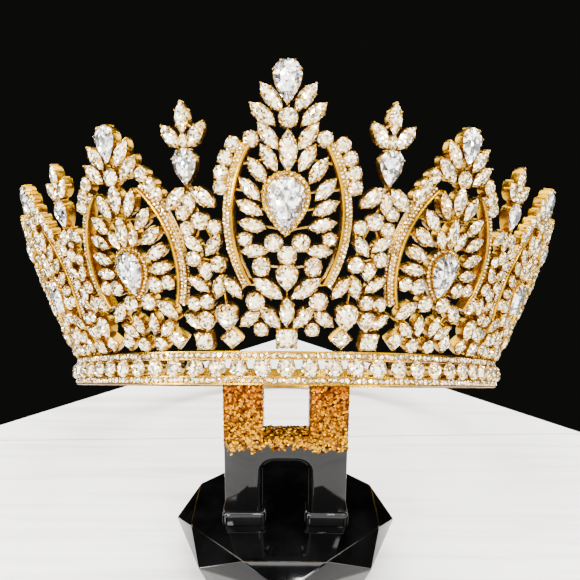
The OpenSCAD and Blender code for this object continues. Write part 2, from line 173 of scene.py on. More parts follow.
FINIAL_LOWER_CHART = [
    (0, 39.4, 4, 4, 0, ROUND, SMALL, 0),
    (3.5, 37.8, 3.4, 3.4, 0, ROUND, SMALL, 1),
    (-2.6, 33.8, 6, 2.9, -38, MARQUISE, FIELD, 0),
    (2.5, 34.4, 6, 2.9, 52, MARQUISE, FIELD, 0),
    (2.8, 30.9, 3.6, 3.6, 0, ROUND, SMALL, 0),
    (-3.3, 29.4, 3.8, 3.8, 0, ROUND, SMALL, 0),
    (0.2, 27.9, 4.6, 3.4, 0, PEAR, SMALL, 0),
    (2.4, 25, 6, 2.9, 52, MARQUISE, FIELD, 0),
    (-2.6, 24.2, 5.8, 2.9, -15, MARQUISE, SMALL, 0),
    (1, 20.7, 3.6, 3.6, 0, ROUND, SMALL, 0),
    (4.6, 20.4, 3.4, 3.4, 0, ROUND, SMALL, 0),
    (2, 16.2, 5, 4.2, 0, PEAR, SMALL, 0),
    (5.4, 16.2, 5.8, 2.8, 46, MARQUISE, FIELD, 0),
    (-3.5, 17.1, 7, 5.6, 0, PEAR, FIELD, 0),
    (-3.9, 11.9, 3.8, 3.8, 40, SQUARE, SMALL, 0),
    (3.6, 11.4, 4.4, 4.4, 0, SQUARE, SMALL, 0),
]
# Small stones that fill the gaps of a finial, too fine for the solids
FINIAL_FILL_CHART = [
    (0, 43.6, 5.4, 3.0, 0, MARQUISE, SMALL, 0),
    (0, 57.5, 3.6, 2.4, 0, MARQUISE, SMALL, 0),
]
FINIAL_LOWER_FILL_CHART = [
    (4.2, 41.4, 3.3, 3.3, 0, ROUND, SMALL, 0),
    (-6.2, 23.9, 6.2, 3.0, 35, MARQUISE, SMALL, 0),
]

# Wires behind the settings: from offset and height, to offset and height
CENTRE_WIRES = [
    (0, 12, 0, 22), (0, 60, 0, 66), (3, 41, 9.1, 41.9), (0, 36.6, 8.4, 38), (4, 45, 13, 46),
    (7.8, 32.2, 13, 35.5), (4.5, 52.8, 13, 51.4), (4.7, 57.6, 13, 55.6), (4.1, 16.9, 9.2, 16.6),
    (4.1, 16.9, 6.4, 14.1), (4.7, 23.7, 11, 24.4), (0, 28, 6.3, 28.6),
]
SIDE_WIRES = [
    (0, 42, 0, 56), (2.6, 54.2, 4.2, 56.9), (4, 31.8, 9.1, 33), (3.6, 29, 14, 29.2),
    (8.5, 37, 13.6, 37.4), (0, 41, 12.4, 41.4), (0, 46.5, 10.6, 47.6), (2.9, 21.4, 6.5, 25.4),
    (6.5, 25.4, 13, 25.7), (2.9, 12, 2.9, 21.4), (6.2, 14.6, 8, 19.4), (6.2, 12, 8.4, 11.9),
    (8.4, 11.9, 6.2, 14.6), (8, 19.4, 11.6, 21),
]
FINIAL_WIRES = [(0, 41, 0, 62)]
FINIAL_LOWER_WIRES = [
    (-3.9, 11, -3.5, 17), (-3.5, 17, -3.3, 29.4), (3.6, 11, 2, 17), (2, 16.2, 5.4, 16.2),
    (1, 20.7, 4.6, 20.4), (1, 17, 1, 26), (-3.3, 29.4, 3, 30.9), (3, 30.9, 2.5, 34.4),
    (-3.3, 29.4, -2.6, 33.8), (-2.6, 33.8, 0, 39.4), (2.5, 34.4, 0, 39.4), (2.2, 25, 2.6, 30.9),
]


def turn_x(degrees: float) -> np.ndarray:
    """Returns the matrix of a turn about X."""
    c, s = math.cos(math.radians(degrees)), math.sin(math.radians(degrees))
    return np.array([[1, 0, 0, 0], [0, c, -s, 0], [0, s, c, 0], [0, 0, 0, 1.0]])


def turn_z(degrees: float) -> np.ndarray:
    """Returns the matrix of a turn about Z."""
    c, s = math.cos(math.radians(degrees)), math.sin(math.radians(degrees))
    return np.array([[c, -s, 0, 0], [s, c, 0, 0], [0, 0, 1, 0], [0, 0, 0, 1.0]])


def move(x: float, y: float, z: float) -> np.ndarray:
    """Returns the matrix of a move."""
    return np.array([[1, 0, 0, x], [0, 1, 0, y], [0, 0, 1, z], [0, 0, 0, 1.0]])


def side_matrix(side: Side) -> np.ndarray:
    """Returns the identity for the right side, and the mirror in X for the left."""
    return np.diag([float(side.value), 1.0, 1.0, 1.0])


def spokes(count: int, offset: float = 0.0) -> np.ndarray:
    """Returns directions spread round a circle, the first of them that share of a step on."""
    around = (np.arange(count) + offset) / count * 2 * np.pi
    return np.stack([np.cos(around), np.sin(around)], axis=1)


def level(flat: np.ndarray, z: float) -> np.ndarray:
    """Returns flat points, put at one height."""
    return np.column_stack([flat, np.full(len(flat), z)])


def suffix(number: int, side: Side) -> str:
    """Returns the end of a unit's name: its number, and its side unless it is at the front."""
    return f"{number}{'r' if side is RIGHT else 'l'}" if number else "0"


def show(name: str, data: bpy.types.ID) -> Object:
    """Makes an object and links it to the scene.

    Args:
        name: The object's name.
        data: Its mesh, light or camera.

    Returns:
        The new object.
    """
    thing = bpy.data.objects.new(name, data)
    bpy.context.scene.collection.objects.link(thing)
    return thing


@dataclass(frozen=True)
class Seat:
    """Where one stone sits in its unit, in millimetres, and how it is cut."""

    across: float
    height: float
    length: float
    width: float
    lean: float
    cut: Cut
    use: Use
    mirrored: int

    def both(self) -> list["Seat"]:
        """Returns the seat, with its mirror image where it has one."""
        twin = replace(self, across=-self.across, lean=-self.lean)
        return [self, twin] if self.mirrored else [self]

    def size(self, more: float = 0.0) -> Pair:
        """Returns the length and the width, each with that much more."""
        return self.length + more, self.width + more

    def grown(self, scale: float, foot: float) -> "Seat":
        """Sizes the seat for its unit.

        Args:
            scale: The unit's size beside the one at the front.
            foot: The height that stays where it is.

        Returns:
            The seat at that size.
        """
        return replace(
            self, across=self.across * scale, height=foot + (self.height - foot) * scale,
            length=self.length * scale, width=self.width * scale,
        )


@dataclass(frozen=True)
class Flare:
    """The flaring wall that the units stand in, in the crown's own frame."""

    band_r: float = 72.0
    band_h: float = 8.6
    inset: float = 1.0
    slope: float = 0.6
    curve: float = 0.0033
    tilt: float = 23.2
    back: float = 57.7

    def radius(self, z: float) -> float:
        """Returns the wall's radius at a height."""
        above = z - self.band_h
        return self.band_r - self.inset + self.slope * above - self.curve * max(above, 0) ** 2

    def angle(self, z: float) -> float:
        """Returns the wall's angle from the upright at a height, in degrees."""
        return math.degrees(math.atan(self.slope - 2 * self.curve * (z - self.band_h)))

    def place(self, across: float, z: float, lean: float) -> np.ndarray:
        """Puts a local frame on the wall: X across, Y up the wall and Z outwards.

        Args:
            across: The offset from the unit's axis.
            z: The height above the foot of the band.
            lean: The turn of the top away from the axis, in degrees.

        Returns:
            The matrix of that frame.
        """
        r = self.radius(z)
        swing = math.degrees(math.asin(across / r))
        return turn_z(swing) @ move(0, -r, z) @ turn_x(90 + self.angle(z)) @ turn_z(-lean)

    def crown(self) -> np.ndarray:
        """Returns the matrix that leans the crown back behind its stand."""
        up = self.band_r * math.sin(math.radians(self.tilt))
        return move(0, self.back, up) @ turn_x(-self.tilt)

    def unit(self, azimuth: float, side: Side) -> np.ndarray:
        """Returns the matrix of a unit at an azimuth, on the right or mirrored to the left."""
        return self.crown() @ side_matrix(side) @ turn_z(azimuth)


@dataclass
class MeshPile:
    """Meshes of many small things, joined into one as they are added."""

    points: list[np.ndarray] = field(default_factory=list)
    faces: Faces = field(default_factory=list)
    shades: list[float] = field(default_factory=list)
    count: int = 0
    plain_shade: float = 0.5
    sharp_from: float = 38.0

    def add(
        self, points: np.ndarray, faces: Faces, matrix: np.ndarray, shades: list[float] | None = None,
    ) -> None:
        """Adds one mesh.

        Args:
            points: The corners, one row each, in millimetres.
            faces: The corners of each face, counter-clockwise from outside.
            matrix: Where the mesh goes, in the part's frame.
            shades: A number from 0 to 1 for each face, that its finish reads.
        """
        moved = points @ matrix[:3, :3].T + matrix[:3, 3]
        order = -1 if np.linalg.det(matrix[:3, :3]) < 0 else 1
        start = self.count
        self.faces.extend(tuple(start + i for i in face[::order]) for face in faces)
        self.points.append(moved * MM)
        self.shades.extend(shades if shades is not None else [self.plain_shade] * len(faces))
        self.count += len(points)

    def skin(
        self, rings: list[np.ndarray], matrix: np.ndarray, closed: bool = False, clockwise: bool = False,
    ) -> None:
        """Adds a skin over rings that follow each other.

        Args:
            rings: The corners of each ring, in millimetres.
            matrix: Where the mesh goes, in the part's frame.
            closed: Whether the last ring joins the first, in place of a cap at each end.
            clockwise: Whether the rings run clockwise, seen from the end.
        """
        count, sides = len(rings), len(rings[0])
        faces: Faces = []
        if not closed:
            faces += [tuple(range(sides - 1, -1, -1)), tuple(range((count - 1) * sides, count * sides))]
        for k in range(count if closed else count - 1):
            a, b = k * sides, (k + 1) % count * sides
            faces += [(a + i, a + (i + 1) % sides, b + (i + 1) % sides, b + i) for i in range(sides)]
        if clockwise:
            faces = [face[::-1] for face in faces]
        self.add(np.concatenate(rings), faces, matrix)

    def piece(self, name: str, material: Material, smooth: bool) -> Object:
        """Makes the joined mesh an object.

        Args:
            name: The piece's name.
            material: Its finish.
            smooth: Whether round stretches are shaded smooth.

        Returns:
            The new object, linked to the scene.
        """
        mesh = bpy.data.meshes.new(name)
        mesh.from_pydata(np.concatenate(self.points).tolist(), [], self.faces)
        shade = mesh.attributes.new("facet", "FLOAT", "FACE")
        shade.data.foreach_set("value", self.shades)
        mesh.materials.append(material)
        if smooth:
            mesh.shade_smooth()
            mesh.set_sharp_from_angle(angle=math.radians(self.sharp_from))
        mesh.update()
        return show(name, mesh)


def outline(cut: Cut, turns: np.ndarray, size: Pair) -> np.ndarray:
    """Draws the outline of a cut.

    Args:
        cut: The cut.
        turns: Places round the outline, from 0 to 1, counter-clockwise from the right-hand side.
        size: The length along Y and the width along X.

    Returns:
        One point for each place.
    """
    length, width = size
    c, s = np.cos(2 * np.pi * turns), np.sin(2 * np.pi * turns)
    if cut is MARQUISE:
        return np.stack([width / 2 * np.sign(c) * np.abs(c) ** MARQUISE_TAPER, length / 2 * s], axis=1)
    if cut is PEAR:
        shoulder = (length - width) / 2
        down = np.clip(-s, 0, 1)
        x = width / 2 * np.where(s >= 0, c, np.sign(c) * (1 - down ** PEAR_BELLY) ** PEAR_TAPER)
        y = np.where(s >= 0, shoulder + width / 2 * s, shoulder - (length - width / 2) * down)
        return np.stack([x, y], axis=1)
    if cut is SQUARE:
        grow = 1 / np.maximum(np.maximum(np.abs(c), np.abs(s)), SQUARE_CORNER)
        return np.stack([width / 2 * c * grow, length / 2 * s * grow], axis=1)
    return np.stack([width / 2 * c, length / 2 * s], axis=1)


def ring(cut: Cut, count: int, size: Pair, scale: float, z: float, offset: float = 0.0) -> np.ndarray:
    """Draws one level of a cut as a ring of points.

    Args:
        cut: The cut.
        count: How many points.
        size: The cut's length and width.
        scale: The ring's size beside the cut's.
        z: The ring's height.
        offset: How far the first point lies past the right-hand side, in steps.

    Returns:
        The points, one row each.
    """
    return level(outline(cut, (np.arange(count) + offset) / count % 1.0, size) * scale, z)


@dataclass(frozen=True)
class Brilliant:
    """A stone with a table, star and kite facets, girdle facets and a pointed lower part.

    Its levels, from the table down to the point, have sizes beside the girdle's.
    """

    kites: int = 8
    gap: float = 0.12
    cover: float = 0.3
    rise_least: float = 0.5
    rise_share: float = 0.3
    girdle_at: float = 0.42
    table: float = 0.54
    stars: float = 0.8
    stars_at: float = 0.62
    belt: float = 0.12
    belt_share: float = 0.99
    depth_least: float = 0.55
    depth_share: float = 0.12
    keel: float = 0.62
    keel_at: float = 0.3
    point: float = 0.14
    table_reflection_play: float = 0.35
    table_star_reflections: Pair = (0.24, 0.62)
    pave_levels: tuple[Pair, ...] = ((0.55, 0.32), (1.0, 0.12), (0.5, -0.25))

    def rise(self, width: float) -> float:
        """Returns the height of a stone of that width above its setting."""
        return self.rise_share * width + self.rise_least

    def girdle(self, width: float) -> float:
        """Returns the height of the girdle of a stone of that width."""
        return self.gap + self.girdle_at * self.rise(width)

    def cut_stone(self, pile: MeshPile, seat: Seat, matrix: np.ndarray, rng: Draws) -> None:
        """Adds one stone to a pile.

        Args:
            pile: The pile.
            seat: The stone's cut and sizes.
            matrix: Its place in the part's frame.
            rng: The draws for the painted reflections of its facets.
        """
        size, n = seat.size(self.cover), self.kites
        top, girdle = self.gap + self.rise(seat.width), self.girdle(seat.width)
        depth = -self.depth_least - self.depth_share * size[1]
        rings = [
            ring(seat.cut, n, size, self.table, top, 0.5),
            ring(seat.cut, n, size, self.stars, girdle + self.stars_at * (top - girdle)),
            ring(seat.cut, 2 * n, size, 1.0, girdle),
            ring(seat.cut, 2 * n, size, self.belt_share, girdle - self.belt),
            ring(seat.cut, n, size, self.keel, self.keel_at * depth),
            ring(seat.cut, n, size, self.point, depth),
        ]
        # The first corner of the table, stars, girdle, belt, keel and point, and the table's middle
        t, m, g, b, p, c, middle = np.cumsum([0, n, n, 2 * n, 2 * n, n, n]).tolist()
        faces: Faces = [(t + i, t + (i + 1) % n, middle) for i in range(n)]
        faces.append(tuple(c + i for i in range(n - 1, -1, -1)))
        for i in range(n):
            j, before, here, after = (i + 1) % n, (2 * i - 1) % (2 * n), 2 * i, 2 * i + 1
            faces += [
                (t + (i - 1) % n, m + i, t + i), (t + i, m + i, g + after), (t + i, g + after, m + j),
                (m + i, g + before, g + here), (m + i, g + here, g + after),
                (p + i, b + here, b + before), (p + i, b + after, b + here), (p + i, p + j, b + after),
                (c + j, p + j, p + i, c + i),
            ]
        for i in range(2 * n):
            j = (i + 1) % (2 * n)
            faces.append((b + i, b + j, g + j, g + i))
        # Each facet gets a shade, a painted reflection that its finish reads; the table's triangles are
        # painted dark and light in turn, a painted reflection of the star of lower facets seen through it
        shades = rng.random(len(faces))
        dark, light = self.table_star_reflections
        shades[:n] = self.table_reflection_play * shades[:n] + np.where(np.arange(n) % 2, light, dark)
        centre = [[0, rings[0][:, 1].mean(), top]]
        pile.add(np.concatenate([*rings, centre]), faces, matrix, shades.tolist())

    def pave_stone(self, pile: MeshPile, across: float, matrix: np.ndarray, rng: Draws) -> None:
        """Adds one small eight-sided stone to a pile.

        Args:
            pile: The pile.
            across: Its diameter.
            matrix: Its place in the part's frame.
            rng: The draws for the painted reflections of its facets.
        """
        n = self.kites
        rings = [ring(ROUND, n, (across, across), scale, z * across, 0.5) for scale, z in self.pave_levels]
        faces: Faces = [tuple(range(n)), tuple(range(3 * n - 1, 2 * n - 1, -1))]
        for i in range(n):
            j = (i + 1) % n
            faces += [(a + i, a + n + i, a + n + j, a + j) for a in (0, n)]
        # Each facet gets a random shade, a painted reflection that the stone finish reads
        pile.add(np.concatenate(rings), faces, matrix, rng.random(len(faces)).tolist())


@dataclass(frozen=True)
class Goldwork:
    """The small metalwork of the crown: baskets, prongs, beads and wires.

    A prong's bend gives, for each stop, how far out of its foot it is, how far up the stone's
    upper part, and how thick.
    """

    margin: float = 0.35
    depth: float = 2.0
    basket_sides: int = 16
    foot_share: float = 0.9
    waist_z: float = -0.3
    lip_drop: float = 0.1
    seat_drop: float = 0.25
    seat_share: float = 0.92
    bore_share: float = 0.72
    prong_r: float = 0.3
    prong_sides: int = 5
    prong_out: float = 0.16
    prong_low: float = -1.2
    prong_over: float = 0.3
    prong_bend: tuple[Triple, ...] = ((0.05, 0.0, 1.0), (-0.12, 0.75, 0.95), (-0.42, 1.25, 0.7))
    probe: float = 0.01
    bead_r: float = 0.24
    bead_sides: int = 6
    bead_levels: tuple[Pair, ...] = ((1.0, -0.3), (0.75, 0.8))
    bead_tip: float = 1.2
    wire_w: float = 0.6
    wire_sides: int = 8
    wire_sink: float = 0.7
    wire_piece: float = 11.0
    wire_lap: float = 0.3
    pave_d: float = 1.25
    stones: Brilliant = Brilliant()

    def basket(self, pile: MeshPile, seat: Seat, matrix: np.ndarray) -> None:
        """Adds the basket that holds one stone, open behind, with its prongs.

        Args:
            pile: The pile of metal.
            seat: The stone that it holds.
            matrix: The stone's place in the part's frame.
        """
        girdle, edge = self.stones.girdle(seat.width), 2 * self.margin
        wall = (
            (edge, self.foot_share, -self.depth), (edge, 1.0, self.waist_z),
            (0.5 * edge, 1.0, girdle - self.lip_drop), (0.0, self.seat_share, girdle - self.seat_drop),
            (0.0, self.bore_share, -self.depth),
        )
        rings = [ring(seat.cut, self.basket_sides, seat.size(more), scale, z) for more, scale, z in wall]
        pile.skin(rings, matrix, closed=True)
        for turn in PRONG_TURNS[seat.cut]:
            self.prong(pile, seat, turn, matrix)

    def prong(self, pile: MeshPile, seat: Seat, turn: float, matrix: np.ndarray) -> None:
        """Adds one prong, which stands outside the girdle and bends over the stone.

        Args:
            pile: The pile of metal.
            seat: The stone that it holds.
            turn: Its place round the stone, in turns.
            matrix: The stone's place in the part's frame.
        """
        near = outline(seat.cut, (turn + np.array([-self.probe, 0.0, self.probe])) % 1.0, seat.size())
        along = near[2] - near[0]
        out = np.array([along[1], -along[0]]) / np.linalg.norm(along)
        foot = near[1] + out * self.prong_out
        girdle = self.stones.girdle(seat.width)
        over = self.prong_over * self.stones.rise(seat.width)
        stops = [(0.0, self.prong_low, 1.0)]
        stops += [(aside, girdle + up * over, thick) for aside, up, thick in self.prong_bend]
        circle = spokes(self.prong_sides) * self.prong_r
        pile.skin([level(foot + aside * out + circle * thick, z) for aside, z, thick in stops], matrix)

    def bead(self, pile: MeshPile, r: float, matrix: np.ndarray) -> None:
        """Adds one raised bead, a low dome.

        Args:
            pile: The pile of metal.
            r: Its radius.
            matrix: Its place in the part's frame.
        """
        n = self.bead_sides
        rings = [level(spokes(n) * r * scale, z * r) for scale, z in self.bead_levels]
        faces: Faces = [tuple(range(n - 1, -1, -1))]
        for i in range(n):
            j = (i + 1) % n
            faces += [(i, j, n + j, n + i), (n + i, n + j, 2 * n)]
        pile.add(np.concatenate([*rings, [[0, 0, self.bead_tip * r]]]), faces, matrix)

    def wire(self, pile: MeshPile, flare: Flare, unit: np.ndarray, ends: Ends, scale: float) -> None:
        """Adds a wire behind the settings, cut into short lengths that follow the flare.

        Args:
            pile: The pile of metal.
            flare: The wall that it follows.
            unit: The unit's place in the part's frame.
            ends: The offset and height of its ends.
            scale: The unit's size.
        """
        foot = flare.band_h
        start = np.array([ends[0] * scale, max(foot + self.wire_w, foot + scale * (ends[1] - foot))])
        stop = np.array([ends[2] * scale, foot + scale * (ends[3] - foot)])
        pieces = max(1, math.ceil(abs(stop[1] - start[1]) / self.wire_piece))
        half = (self.depth - self.wire_sink) / 2
        section = spokes(self.wire_sides, 0.5) * (self.wire_w / 2, half) + (0.0, half - self.depth)
        for i in range(pieces):
            a = start + (stop - start) * i / pieces
            b = start + (stop - start) * (i + 1) / pieces
            across, height = (a + b) / 2
            run = np.array([b[0] - a[0], (b[1] - a[1]) / math.cos(math.radians(flare.angle(height)))])
            reach = float(np.linalg.norm(run)) / 2 + self.wire_lap
            place = unit @ flare.place(across, height, math.degrees(math.atan2(run[0], run[1])))
            pile.skin([np.insert(section, 1, y, axis=1) for y in (-reach, reach)], place, clockwise=True)


@dataclass(frozen=True)
class Arch:
    """The arc of an arch rail: its radius, its centre and the degrees that it runs between."""

    radius: float
    across: float
    up: float
    first: float
    last: float

    def at(self, share: float, flare: Flare, scale: float) -> np.ndarray:
        """Finds a place on the rail.

        Args:
            share: How far along, from 0 to 1.
            flare: The wall that it lies on.
            scale: The panel's size.

        Returns:
            The frame there, with Y along the rail.
        """
        foot = flare.band_h
        angle = math.radians(self.first + (self.last - self.first) * share)
        across = scale * (self.across + self.radius * math.cos(angle))
        z = foot + scale * (self.up + self.radius * math.sin(angle) - foot)
        rise = math.cos(angle) / math.cos(math.radians(flare.angle(z)))
        return flare.place(across, z, math.degrees(math.atan2(-math.sin(angle), rise)))

    def run(self, scale: float) -> float:
        """Returns the length of the rail."""
        return scale * self.radius * math.radians(self.last - self.first)


@dataclass(frozen=True)
class Rail:
    """An arch rail: a polished lip on the inside, and pave rows on its face and its outer side.

    A row gives where its stones and its beads stand in a step, and how many stones out it lies.
    """

    arch: Arch
    scale: float
    width: float = 2.3
    steps: int = 26
    ledge: float = 0.3
    tray: float = 0.25
    lip_w: float = 0.95
    lip_h: float = 1.15
    lip_round: float = 0.4
    lip_turns: tuple[float, ...] = (10, 45, 90, 135, 170)
    stone_share: float = 0.68
    pitch: float = 1.06
    row_gap: float = 1.02
    rows: tuple[Triple, ...] = ((0.3, 0.8, 0.5), (0.7, 0.4, -0.5))
    stone_up: float = 0.1
    bead_up: float = 0.14
    flare: Flare = Flare()
    gold: Goldwork = Goldwork()

    def at(self, share: float) -> np.ndarray:
        """Returns the frame at a share of the rail's length."""
        return self.arch.at(share, self.flare, self.scale)

    def section(self) -> np.ndarray:
        """Draws the rail's section.

        Returns:
            How far across and how high each corner is.
        """
        half, lip = self.width / 2 * self.scale, self.lip_w * self.scale
        outer, low = half + self.ledge * self.scale, -self.gold.depth
        shoulder = self.lip_h - self.lip_round
        crest = [
            (-half + lip / 2 * (1 + math.cos(a)), shoulder + self.lip_round * math.sin(a))
            for a in np.radians(self.lip_turns)
        ]
        tray = [(outer, self.tray), (-half + lip, self.tray)]
        return np.array([(-half, low), (outer, low), *tray, *crest])

    def add(self, metal: MeshPile, stones: MeshPile, unit: np.ndarray, rng: Draws) -> None:
        """Adds the rail with its stones and beads.

        Args:
            metal: The pile of metal.
            stones: The pile of stones.
            unit: The panel's place, mirrored for its left rail.
            rng: The draws for the stones' shades.
        """
        section, rings = self.section(), []
        for k in range(self.steps + 1):
            place = self.at(k / self.steps)
            rings.append(np.insert(section, 1, 0.0, axis=1) @ place[:3, :3].T + place[:3, 3])
        metal.skin(rings, unit, clockwise=True)
        (outer, low), (inner, _) = section[1], section[3]
        across = self.stone_share * self.gold.pave_d * self.scale
        count = int(self.arch.run(self.scale) / (across * self.pitch))
        for i in range(count):
            for stone_at, bead_at, out in self.rows:
                x = (outer + inner) / 2 + out * across * self.row_gap
                spot = unit @ self.at((i + stone_at) / count) @ move(x, 0, self.tray + self.stone_up)
                self.gold.stones.pave_stone(stones, across, spot, rng)
                spot = unit @ self.at((i + bead_at) / count) @ move(x, 0, self.tray + self.bead_up)
                self.gold.bead(metal, self.gold.bead_r * self.scale, spot)
            side = move(outer, 0, 0.5 * (self.tray + low)) @ turn_z(90) @ turn_x(90)
            self.gold.stones.pave_stone(stones, across, unit @ self.at((i + 0.5) / count) @ side, rng)


@dataclass(frozen=True)
class Halo:
    """The pave border round a main stone, on a plate with an open middle."""

    width: float = 1.4
    sides: int = 32
    foot_share: float = 0.95
    edge_z: float = 0.1
    inner_share: float = 1.04
    inner_z: float = 0.25
    bore_share: float = 0.8
    line_at: float = 0.58
    line_points: int = 241
    pitch: float = 0.92
    stone_share: float = 0.76
    stone_z: float = 0.26
    bead_share: float = 1.2
    bead_z: float = 0.36
    bead_rows: tuple[float, ...] = (0.92, 1.0, 1.08)
    gold: Goldwork = Goldwork()

    def add(self, metal: MeshPile, stones: MeshPile, seat: Seat, place: np.ndarray, rng: Draws) -> None:
        """Adds the border.

        Args:
            metal: The pile of metal.
            stones: The pile of stones.
            seat: The main stone.
            place: Its place in the part's frame.
            rng: The draws for the stones' shades.
        """
        wide, low = 2 * self.width, -self.gold.depth
        wall = (
            (wide, self.foot_share, low), (wide, 1.0, self.edge_z), (0.0, self.inner_share, self.inner_z),
            (0.0, self.bore_share, low),
        )
        rings = [ring(seat.cut, self.sides, seat.size(more), scale, z) for more, scale, z in wall]
        metal.skin(rings, place, closed=True)
        turns = np.linspace(0, 1, self.line_points) % 1.0
        line = outline(seat.cut, turns, seat.size(wide * self.line_at))
        steps = np.concatenate([[0], np.cumsum(np.linalg.norm(np.diff(line, axis=0), axis=1))])
        stone_d, bead_r = self.gold.pave_d * self.stone_share, self.bead_share * self.gold.bead_r
        count = 2 * int(steps[-1] / (self.gold.pave_d * self.pitch))
        for i in range(count):
            x, y = (float(np.interp(steps[-1] * i / count, steps, line[:, k])) for k in (0, 1))
            if i % 2 == 0:
                self.gold.stones.pave_stone(stones, stone_d, place @ move(x, y, self.stone_z), rng)
                continue
            for grow in self.bead_rows:
                self.gold.bead(metal, bead_r, place @ move(x * grow, y * grow, self.bead_z))


@dataclass
class Unit:
    """One casting of the crown with its stones: an arched panel or a finial."""

    name: str
    seats: list[Seat]
    wires: list[Ends]
    azimuth: float
    side: Side
    scale: float
    nodes: dict[Use, str]
    arch: Arch | None = None
    both_sides: bool = True
    flare: Flare = Flare()
    gold: Goldwork = Goldwork()
    halo: Halo = Halo()

    def build(self, finishes: "Finishes", seed: int) -> list[Object]:
        """Builds the casting, the field of stones and the named stones.

        Args:
            finishes: The finishes of the crown.
            seed: The seed of the stones' shades.

        Returns:
            The pieces.
        """
        rng = np.random.default_rng(seed)
        metal, field_pile = MeshPile(), MeshPile()
        named: dict[Use, MeshPile] = {use: MeshPile() for use in self.nodes if use in (CREST, MAIN)}
        unit = self.flare.unit(self.azimuth, self.side)
        for seat in self.seats:
            place = unit @ self.flare.place(seat.across, seat.height, seat.lean)
            self.gold.basket(metal, seat, place)
            self.gold.stones.cut_stone(named.get(seat.use, field_pile), seat, place, rng)
            if seat.use is MAIN and self.arch is not None:
                self.halo.add(metal, field_pile, seat, place, rng)
        for ends in self.wires:
            # A wire on the centre line is its own mirror image, so it is drawn once
            alone = ends[0] == ends[2] == 0 or not self.both_sides
            for side in (RIGHT,) if alone else Side:
                self.gold.wire(metal, self.flare, unit @ side_matrix(side), ends, self.scale)
        if self.arch is not None:
            for side in Side:
                Rail(self.arch, self.scale).add(metal, field_pile, unit @ side_matrix(side), rng)
        casting = metal.piece(f"casting_{self.name}", finishes.gold, smooth=True)
        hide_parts(self.name)
        stones = field_pile.piece(f"stones_{self.name}", finishes.stone, smooth=False)
        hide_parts(self.nodes[FIELD])
        pieces = [casting, stones]
        for use, pile in named.items():
            gem = pile.piece(f"{self.nodes[use]}_gem", finishes.clear, smooth=False)
            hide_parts(self.nodes[use])
            pieces.append(gem)
        return pieces


@dataclass
class Crown:
    """The seven panels and eight finials, and how they are placed round the band."""

    panel_azimuths: tuple[float, ...] = (0, 29.3, 57.5, 86)
    panel_scales: tuple[float, ...] = (1, 1, 0.9, 0.82)
    finial_azimuths: tuple[float, ...] = (15.7, 43.5, 71.5, 99.5)
    finial_scales: tuple[float, ...] = (1, 0.87, 0.8, 0.74)
    finial_shifts: tuple[float, ...] = (-2.2, 1.3, 0.8, 0.4)
    centre_arch: Arch = Arch(30.1, -16, 40.4, -32, 31)
    side_arch: Arch = Arch(23.2, -8.4, 31.8, -29, 46)
    flare: Flare = Flare()

    def seats(self, chart: list[tuple], scale: float, shift: float = 0.0) -> list[Seat]:
        """Reads a chart into seats.

        Args:
            chart: The rows of the chart.
            scale: The unit's size.
            shift: How far the rows move sideways.

        Returns:
            Every seat of the unit, mirrored ones included.
        """
        rows = [one for row in chart for one in Seat(*row).both()]
        return [replace(row, across=row.across + shift).grown(scale, self.flare.band_h) for row in rows]

    def panel(self, number: int, side: Side) -> Unit:
        """Describes one panel.

        Args:
            number: Its number from the front, which is 0.
            side: Its side of the crown.

        Returns:
            The unit.
        """
        end, scale = suffix(number, side), self.panel_scales[number]
        chart, wires = (SIDE_CHART, SIDE_WIRES) if number else (CENTRE_CHART, CENTRE_WIRES)
        return Unit(
            name=f"panel_{end}", seats=self.seats(chart, scale), wires=wires,
            azimuth=self.panel_azimuths[number], side=side, scale=scale,
            nodes={FIELD: f"panel_stones_{end}", CREST: f"crest_pear_{end}", MAIN: f"main_pear_{end}"},
            arch=self.side_arch if number else self.centre_arch,
        )

    def finial(self, number: int, side: Side) -> Unit:
        """Describes one finial, whose lower half stands a little to one side of its spire.

        Args:
            number: Its number from the front, from 1.
            side: Its side of the crown.

        Returns:
            The unit.
        """
        end, scale = suffix(number, side), self.finial_scales[number - 1]
        shift = self.finial_shifts[number - 1]
        upper = self.seats(FINIAL_CHART + FINIAL_FILL_CHART, scale)
        lower = self.seats(FINIAL_LOWER_CHART + FINIAL_LOWER_FILL_CHART, scale, shift)
        join = [(shift, FINIAL_LOWER_CHART[0][1], 0, FINIAL_CHART[3][1])]
        low_wires = [(a + shift, b, c + shift, d) for a, b, c, d in FINIAL_LOWER_WIRES]
        return Unit(
            name=f"finial_{end}", seats=upper + lower, wires=FINIAL_WIRES + join + low_wires,
            azimuth=self.finial_azimuths[number - 1], side=side, scale=scale,
            nodes={FIELD: f"finial_stones_{end}", MAIN: f"finial_pear_{end}"}, both_sides=False,
        )

    def units(self) -> list[Unit]:
        """Describes every unit.

        Returns:
            The panels and then the finials, each from the front to the rear.
        """
        twins = [(n, side) for n in range(1, len(self.panel_scales)) for side in Side]
        panels = [self.panel(n, side) for n, side in [(0, RIGHT), *twins]]
        finials = [self.finial(n + 1, side) for n in range(len(self.finial_scales)) for side in Side]
        return panels + finials


